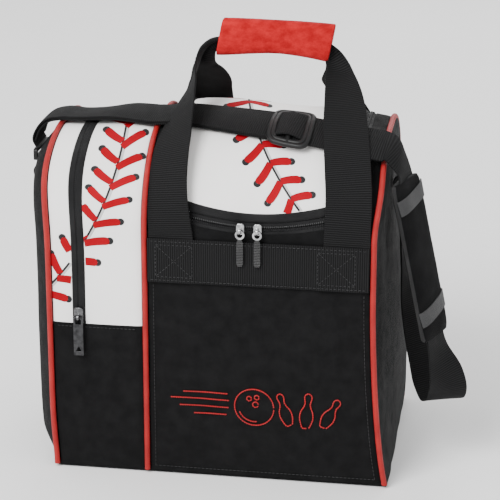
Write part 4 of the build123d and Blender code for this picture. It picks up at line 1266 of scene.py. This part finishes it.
STRAP_BOW = 1.6
LEFT_Y = float(strap_y(LEFT))
RIGHT_Y = float(strap_y(RIGHT))


def strap_rows(stations, width=STRAP_WIDE, bow=0.0):
    """Stations of (x, y, z, across x, across y, across z) with their width and bow."""
    stations = np.asarray(stations, float)
    return np.concatenate([stations, stack(width, np.broadcast_to(bow, len(stations)))], 1)


def shoulder_pieces():
    """Left and lid stretches of the strap and of its return, which meet on the lid's border."""
    ring_x, ring_top = middle("left_swivel"), extent("left_swivel", Z)[1]
    top_z = HEIGHT + STRAP_RISE
    blend_from, blend_to = (Vector((x, 0, 0)) * MM for x in (-162, LID_STRAP_FROM - 1))
    for layer, rise, back, end_x, nodes in (
        ("strap", STRAP_RISE, 0.0, LID_STRAP_TO, ("strap_left_drop", "strap_over_pocket")),
        ("strap_return", RETURN_RISE, -RETURN_RISE, RETURN_END, ()),
    ):
        drop = strap_rows([
            (ring_x, LEFT_Y, ring_top + 1.0, 0, 1, 0),
            (ring_x - 3 - back, LEFT_Y, top_z - 34, 0, 1, 0),
            (ring_x + 1 - back, LEFT_Y, top_z - 21.5 + back, 0, 1, 0),
            (ring_x + 11 - back, LEFT_Y, top_z - 12 + back, 0, 1, 0),
            (ring_x + 24, LEFT_Y, top_z - 8.8 + back, 0, 1, 0.03),
        ], bow=(0.0, 0.0, 0.2, 0.5, 0.9))
        over = strap_rows(np.hstack(top_strap(-150, LID_STRAP_FROM, rise)), bow=STRAP_BOW)
        stations = np.concatenate([drop[1:] if back else drop, over[::9], over[-1:]])
        made = ribbon_through(f"shoulder_{layer}_left", stations, STRAP, MAT["webbing"])
        if nodes:
            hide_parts(*nodes)
        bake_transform(made)
        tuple(blend_from)
        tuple(blend_to)
        centres, across = top_strap(LID_STRAP_FROM, end_x, rise)
        made = ribbon(f"shoulder_{layer}_lid", centres, across, STRAP_WIDE, STRAP, MAT["webbing"], STRAP_BOW)
        finish_piece(made, "lid", "webbing", *(["strap_over_lid"] if nodes else []))


shoulder_pieces()

# ---------------------------------------------------------------- right drop, pad and slack loop

PAD_TOP = np.array([171.5, RIGHT_Y - 1, 301.0])
PAD_LOW = np.array([205.0, RIGHT_Y - 6, 148.0])
PAD_RUN = unit(PAD_LOW - PAD_TOP)
TWIST = math.radians(21)
PAD_ACROSS = np.array([math.sin(TWIST), math.cos(TWIST), 0.0])
PAD_OUT = np.cross(PAD_RUN, PAD_ACROSS)
PAD_LONG = np.linalg.norm(PAD_LOW - PAD_TOP)
LOOP_ACROSS = (0.94, 0.34, 0)


def right_strap():
    """From the lid's edge through the pad, round the slack loop and up to the right ring."""
    top = np.hstack(top_strap(LID_STRAP_TO, 152.0, STRAP_RISE))
    edge_x, edge_y, edge_z, *lean = top[-1]
    ring_x, ring_y = middle("right_swivel"), middle("right_swivel", Y)
    drop = strap_rows([
        (edge_x + 5.5, edge_y, edge_z - 2, *lean),
        (edge_x + 10.5, edge_y, edge_z - 8, *lean),
        (*(PAD_TOP - PAD_RUN * 14), 0.15, 0.95, 0.2),
    ], np.array([STRAP_WIDE - 4, STRAP_WIDE - 7, STRAP_WIDE - 3]), (2.0, 2.5, 0.8))
    spots = (PAD_TOP + PAD_RUN * 16, PAD_LOW - PAD_RUN * 20, PAD_LOW + PAD_RUN * 13)
    in_pad = [(*spot, *PAD_ACROSS) for spot in spots]
    loop = [(x, RIGHT_Y + y, z, *LOOP_ACROSS) for x, y, z in (
        (219.0, -3, 89), (216.5, 5, 78), (210.5, 15, 74.5), (203.5, 25, 84),
    )]
    plain = strap_rows([
        *in_pad,
        (217.5, RIGHT_Y - 8, 106, 0.8, 0.6, 0.1),
        *loop,
        (196.5, RIGHT_Y + 31, 108, 0.9, 0.44, 0),
        (185.5, RIGHT_Y + 35.5, 155, 0.75, 0.66, 0),
        (175.0, RIGHT_Y + 40, 205, 0.3, 0.95, 0),
        (ring_x + 0.8, ring_y, extent("right_swivel", Z)[0] - 1.0, 0, 1, 0),
    ])
    stations = np.concatenate([strap_rows(top, bow=STRAP_BOW)[::6], drop, plain])
    made = ribbon_through("shoulder_strap_right", stations, STRAP, MAT["webbing"])
    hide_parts("strap_over_right", "strap_right_drop", "strap_in_pad", "strap_loop")
    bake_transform(made)


right_strap()

PAD_WIDE = 52.0
PAD_THICK = 11.0
PAD_BANDS = (0.115, 0.825)         # places of the grey bands as shares of the pad's length


def pad_spot(run, across, out):
    """A point of the pad from its length along the run, its place across and its height."""
    return PAD_TOP + PAD_RUN * run + PAD_ACROSS * across + PAD_OUT * out


def pad_swell(a):
    """Height of the pad's crown at a share of its half width, from -1 to 1."""
    return PAD_THICK / 2 * (1 - abs(a) ** 3.2) ** 0.6


def pad_piece():
    """Stuffed pad: crowned faces that thin towards a bound edge."""
    tip = np.array([0, 0, 1.5, 4, 8])
    runs = np.concatenate([tip, np.linspace(14, PAD_LONG - 14, 60), PAD_LONG - tip[::-1]])
    shares = np.linspace(-1, 1, 23)
    section = [(a, 1) for a in shares] + [(a, -1) for a in shares[-2:0:-1]]
    points, uv = [], []
    for i, run in enumerate(runs):
        end = min(run, PAD_LONG - run)
        closing = math.sin(min(1, 0.25 + end / 16) * HALF_PI)
        wide = PAD_WIDE / 2 * (0.94 + 0.06 * math.sin(min(1, end / 18) * HALF_PI))
        for a, face in section:
            thick = 0.4 if i in (0, len(runs) - 1) else closing * pad_swell(a) + 1.3
            quilt = 0.35 * noise.noise(Vector((run / 14, a * 2.2, face * 3.0)))
            points.append(pad_spot(run, a * wide, face * (thick + quilt)))
            uv.append((a * wide + BACK_UV * (face < 0), run))
    faces = ring_faces(len(runs), len(section), flip=True, first=3)
    return make_object("shoulder_pad_body", points, faces, uv, MAT["pad"])


def pad_trim():
    """Bound edge round the pad and the two grey cross bands."""
    wide = PAD_WIDE / 2 - 0.4
    outline = []
    for hand, start, stop in ((-1, 0, 1), (1, 1, 0)):
        outline += [(6 + (PAD_LONG - 12) * t, hand * wide) for t in np.linspace(start, stop, 40)]
        base, reach = (PAD_LONG - 6, 5.4) if hand < 0 else (6, -5.4)
        for a in np.radians(np.linspace(hand * 90, hand * -90, 12)[1:-1]):
            corner = (wide - 6) * (1 if a > 0 else -1)
            outline.append((base + reach * math.cos(a), corner + 6 * math.sin(a)))
    line = np.array([pad_spot(run, share, 0.0) for run, share in outline])
    binding = make_object("shoulder_pad_binding", *tube_parts(line, 1.9, 8, closed=True), MAT["binding"])
    finish_piece(binding, "shoulder_pad", "pad_fabric")
    for k, run in enumerate(PAD_LONG * share for share in PAD_BANDS):
        shares = np.linspace(-PAD_WIDE / 2 - 0.4, PAD_WIDE / 2 + 0.4, 48)
        leans = shares / (PAD_WIDE / 2 + 0.5)
        centres = [pad_spot(run - 5.0 * a, share, pad_swell(a) + 1.9) for a, share in zip(leans, shares)]
        name = f"shoulder_pad_band_{k + 1}"
        cross = ribbon(name, centres, -PAD_RUN, 15.0, 1.0, MAT["reflective"], rib=0.03)
        finish_piece(cross, "shoulder_pad", "pad_fabric")


finish_piece(pad_piece(), "shoulder_pad", "pad_fabric", "shoulder_pad")
pad_trim()

# ---------------------------------------------------------------- moulded and metal fittings


def moulded(node, suffix, body, slot, look, voxel, rounds):
    """A CAD fitting with softened edges, as it comes out of a mould."""
    name = f"{node}_{suffix}"
    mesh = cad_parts[node].data.copy()
    dress(mesh, MAT[look])
    rough = placed("rough_" + name, mesh)
    remesh = rough.modifiers.new("Remesh", "REMESH")
    remesh.mode = "VOXEL"
    remesh.voxel_size = voxel * MM
    smooth = rough.modifiers.new("Smooth", "SMOOTH")
    smooth.iterations = rounds
    smooth.factor = 0.5
    graph = bpy.context.evaluated_depsgraph_get()
    made_mesh = bpy.data.meshes.new_from_object(rough.evaluated_get(graph))
    made_mesh.name = name
    made_mesh.shade_smooth()
    bpy.data.objects.remove(rough)
    finish_piece(placed(name, made_mesh), body, slot, node)


for end in ("left", "right"):
    moulded(f"{end}_hook", "moulding", f"{end}_hook", "black_plastic", "plastic", 0.5, 3)
    moulded(f"{end}_swivel", "moulding", "bag", "black_plastic", "plastic", 0.5, 3)
    moulded(f"main_slider_{end}", "casting", f"main_slider_{end}", "slider_metal", "silver", 0.3, 2)
moulded("pocket_slider", "casting", "pocket_slider", "slider_metal", "dark_silver", 0.3, 2)
moulded("pocket_pull", "casting", "pocket_pull", "pull_metal", "gunmetal", 0.3, 2)


PULL_RIDGE = 0.8         # distance between a pull's grip ridges
PULL_THICK = 1.5


def ribbed_pull(side_name):
    """Rubber pull with grip ridges and a rounded end."""
    node = f"main_pull_{side_name}"
    (left, right), (low, high) = extent(node, X), extent(node, Z)
    z = np.arange(high, low, -PULL_RIDGE)
    share = (high - z) / (high - low)
    taper = np.minimum(0.55 + share * 4, 1) * np.sqrt(np.clip((1.02 - share) / 0.12, 0.12, 1))
    widths = (right - left) * np.clip(taper, 0.3, 1)
    centres = stack(middle(node), middle(node, Y) - 0.2, z)
    return ribbon(f"{node}_rubber", centres, (1, 0, 0), widths, PULL_THICK, MAT["rubber"], rib=0.22)


for end in ("left", "right"):
    finish_piece(ribbed_pull(end), f"main_pull_{end}", "pull_rubber", f"main_pull_{end}")
for end in ("left", "right"):
    moulded(f"{end}_ring_tab", "webbing", "bag", "webbing", "binding", 0.45, 2)


def glide_spot(along, out, lift):
    """A point over the slanting strap: x along it, a distance across it and a rise above the panel."""
    along, out = np.broadcast_arrays(np.asarray(along, float), np.asarray(out, float))
    return raised(along - 0.4 * STRAP_SLOPE * out, path_length(strap_y(along)) + out, lift)


GLIDE_R = 2.7            # round bars of the frame
GLIDE_HALF_DEEP = 23.0
GLIDE_CORNER = 8.0
GLIDE_INNER = 3.4        # the inner of the frame's two rings lies this far inside the outer


def tri_glide_piece():
    """A flat rounded frame of two rings with a bar, and the strap's turn wrapped over the bar."""
    mid = middle("tri_glide")
    half = extent("tri_glide", X)[1] - mid - GLIDE_R
    rings = []
    for inset in (0.0, GLIDE_INNER):
        corner = GLIDE_CORNER - inset / 2
        outline = []
        for k, (sign_x, sign_y) in enumerate(((1, 1), (-1, 1), (-1, -1), (1, -1))):
            for angle in np.linspace(0, HALF_PI, 9) + k * HALF_PI:
                outline.append((
                    sign_x * (half - inset - corner) + corner * math.cos(angle),
                    sign_y * (GLIDE_HALF_DEEP - inset - corner) + corner * math.sin(angle),
                    0,
                ))
        outline = spline(np.array(outline + outline[:1]), 1.2)[:-1]
        line = glide_spot(mid + outline[:, 0], outline[:, 1], STRAP_RISE + STRAP + 2.9)
        rings.append(tube_parts(line, GLIDE_R, sides=14, closed=True))
    bar = glide_spot(mid, np.linspace(-GLIDE_HALF_DEEP, GLIDE_HALF_DEEP, 30), STRAP_RISE + STRAP + 2.6)
    made = joined("tri_glide_moulding", [*rings, tube_parts(bar, 3.0, sides=12)], MAT["plastic"])
    finish_piece(made, "tri_glide", "black_plastic", "tri_glide")
    along = np.linspace(-half + 2.0, half - 2.0, 40)
    rise = STRAP_RISE + STRAP / 2 + 7.0 * np.cos(along / (half - 2.0) * HALF_PI) ** 0.8
    centres = glide_spot(mid + along, 0.0, rise)
    across = glide_spot(mid + along, 1.0, rise) - centres
    wrap = ribbon("tri_glide_strap_turn", centres, across, STRAP_WIDE - 3.5, STRAP, MAT["webbing"], 0.6)
    finish_piece(wrap, "tri_glide", "webbing")


tri_glide_piece()

CAD_LOOKS = {
    "base_board": "board",
    "left_ring": "black_metal",
    "right_ring": "black_metal",
    "main_pull_ring_left": "silver",
    "main_pull_ring_right": "silver",
}
for node, look in CAD_LOOKS.items():
    dress(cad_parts[node].data, MAT[look])

# ---------------------------------------------------------------- embroidered motif

MOTIF_X = 27.0
MOTIF_Z = 79.0
OUTLINE_R = 0.75


def circle(x, z, radius, start=0.0, stop=360.0):
    """Points round a circle, or round a part of it between two angles in degrees."""
    turn = np.radians(np.arange(start, stop + 1, 200 / radius / 3 if radius > 4 else 12))
    return stack(x + radius * np.cos(turn), z + radius * np.sin(turn))


def flat_spline(line, step):
    """A smooth flat line through points of (x, s)."""
    return spline(stack(*np.transpose(line), 0.0), step)[:, :2]


def pin_outline(x, z, tilt, size):
    """A ninepin: belly, neck and head from one half profile, mirrored."""
    half = [
        (3.4, 0), (5.2, 5), (6.4, 11), (5.6, 17), (3.2, 22.5),
        (2.5, 26), (3.3, 30), (3.6, 32.5), (2.2, 35.4), (0, 36.3),
    ]
    rows = flat_spline(np.array(half + [(-a, b) for a, b in half[-2::-1]]) * size, 0.9)
    across, up = np.concatenate([rows, rows[:1]]).T
    c, s = math.cos(math.radians(tilt)), math.sin(math.radians(tilt))
    return stack(x + across * c - up * s, z + across * s + up * c)


def speed_line(x0, x1, z):
    """A single streak, bent a little at its middle."""
    return np.array([(x0, z - 0.8), ((x0 + x1) / 2, z), (x1, z)])


def motif():
    """A rolling ball and toppling pins in red outline embroidery."""
    ball_x = MOTIF_X + 8
    lines = [circle(ball_x, MOTIF_Z, 19.0)]
    for dx, dz, r in ((-4.5, 9.0, 2.3), (3.0, 10.5, 2.3), (1.5, 3.0, 2.8)):
        lines.append(circle(ball_x + dx, MOTIF_Z + dz, r))
    lines.append(circle(ball_x, MOTIF_Z, 15.2, 200, 280))
    for length, dz in ((44, 12), (58, 5), (50, -2.5), (34, -10)):
        end = ball_x - 21.5 - 1.2 * abs(dz) ** 0.5
        lines.append(speed_line(end - length, end, MOTIF_Z + dz))
    for dx, tilt, size, dz in ((33, 14, 0.92, -17), (48, -9, 1.0, -19), (65, -31, 0.92, -17)):
        lines.append(pin_outline(ball_x + dx, MOTIF_Z + dz, tilt, size))
    parts = []
    for line in lines:
        points, normals = skin(*flat_spline(line, 0.7).T, rise=0.45, crease=1.0)
        parts += stitch_parts(points, normals, radius=OUTLINE_R, long=2.2, gap=0.12)
    return joined("embroidered_motif", parts, MAT["thread_red"])


finish_piece(motif(), "bag", "body_fabric")

# ---------------------------------------------------------------- topstitching

topstitch = []
for seam, hand in ((DIVIDER, 1), (RIGHT, -1)):
    topstitch.append(((seam + hand * 8.5, FOOT + 4), (seam + hand * 8.5, BAND_LOW - 3)))
topstitch.append(((MAIN_LEFT + 3, FOOT + 5), (MAIN_RIGHT - 3, FOOT + 5)))
topstitch.append(((POCKET_LEFT + 3, PRINT_LOW - 3.5), (POCKET_RIGHT - 3, PRINT_LOW - 3.5)))
sewn_lines("panel_topstitching", topstitch, 0.5, "body_fabric")

# ---------------------------------------------------------------- floor, light and camera

AZIMUTH, ELEVATION = math.radians(9), math.radians(19.2)
EYE_AWAY = 2.0
AIM_HEIGHT = 0.190
SKY_LIGHT = 1.12
LIGHT_AIM = Vector((0, 0, 0.2))


def studio():
    """Pale floor, white air and soft lights."""
    bpy.ops.mesh.primitive_plane_add(size=40, location=(0, 0, 0))
    floor = bpy.context.object
    floor.name = "floor"
    shader = Shader("floor_paper", Roughness=0.9, Specular_IOR_Level=0.2)
    paper = shader.mix(shader.noise(0.4), (0.84, 0.84, 0.84), (0.88, 0.88, 0.88))
    floor.data.materials.append(shader.finish(paper))
    world = bpy.data.worlds.new("studio_air")
    bpy.context.scene.world = world
    world.use_nodes = True
    sky = world.node_tree.nodes["Background"].inputs
    sky[0].default_value = (1, 1, 1, 1)
    sky[1].default_value = SKY_LIGHT
    for name, place, size, power in (
        ("key", (-1.2, -2.2, 2.3), 1.5, 150),
        ("fill", (2.2, -1.5, 1.3), 1.8, 7),
        ("back", (0.3, 2.2, 2.0), 1.8, 36),
    ):
        data = bpy.data.lights.new(name, "AREA")
        data.size = size
        data.energy = power
        lamp = placed(name, data)
        lamp.location = place
        lamp.rotation_euler = (LIGHT_AIM - Vector(place)).to_track_quat("-Z", "Y").to_euler()


def camera():
    """The photo's viewpoint: a little from the right and above, through a long lens."""
    flat = math.cos(ELEVATION)
    back = Vector((math.sin(AZIMUTH) * flat, -math.cos(AZIMUTH) * flat, math.sin(ELEVATION)))
    data = bpy.data.cameras.new("camera")
    data.lens = 143
    data.sensor_width = 36
    data.shift_x = 0.0266
    data.shift_y = 0.0156
    eye = placed("camera", data)
    eye.location = Vector((0, 0, AIM_HEIGHT)) + back * EYE_AWAY
    eye.rotation_euler = (-back).to_track_quat("-Z", "Y").to_euler()
    bpy.context.scene.camera = eye


studio()
camera()
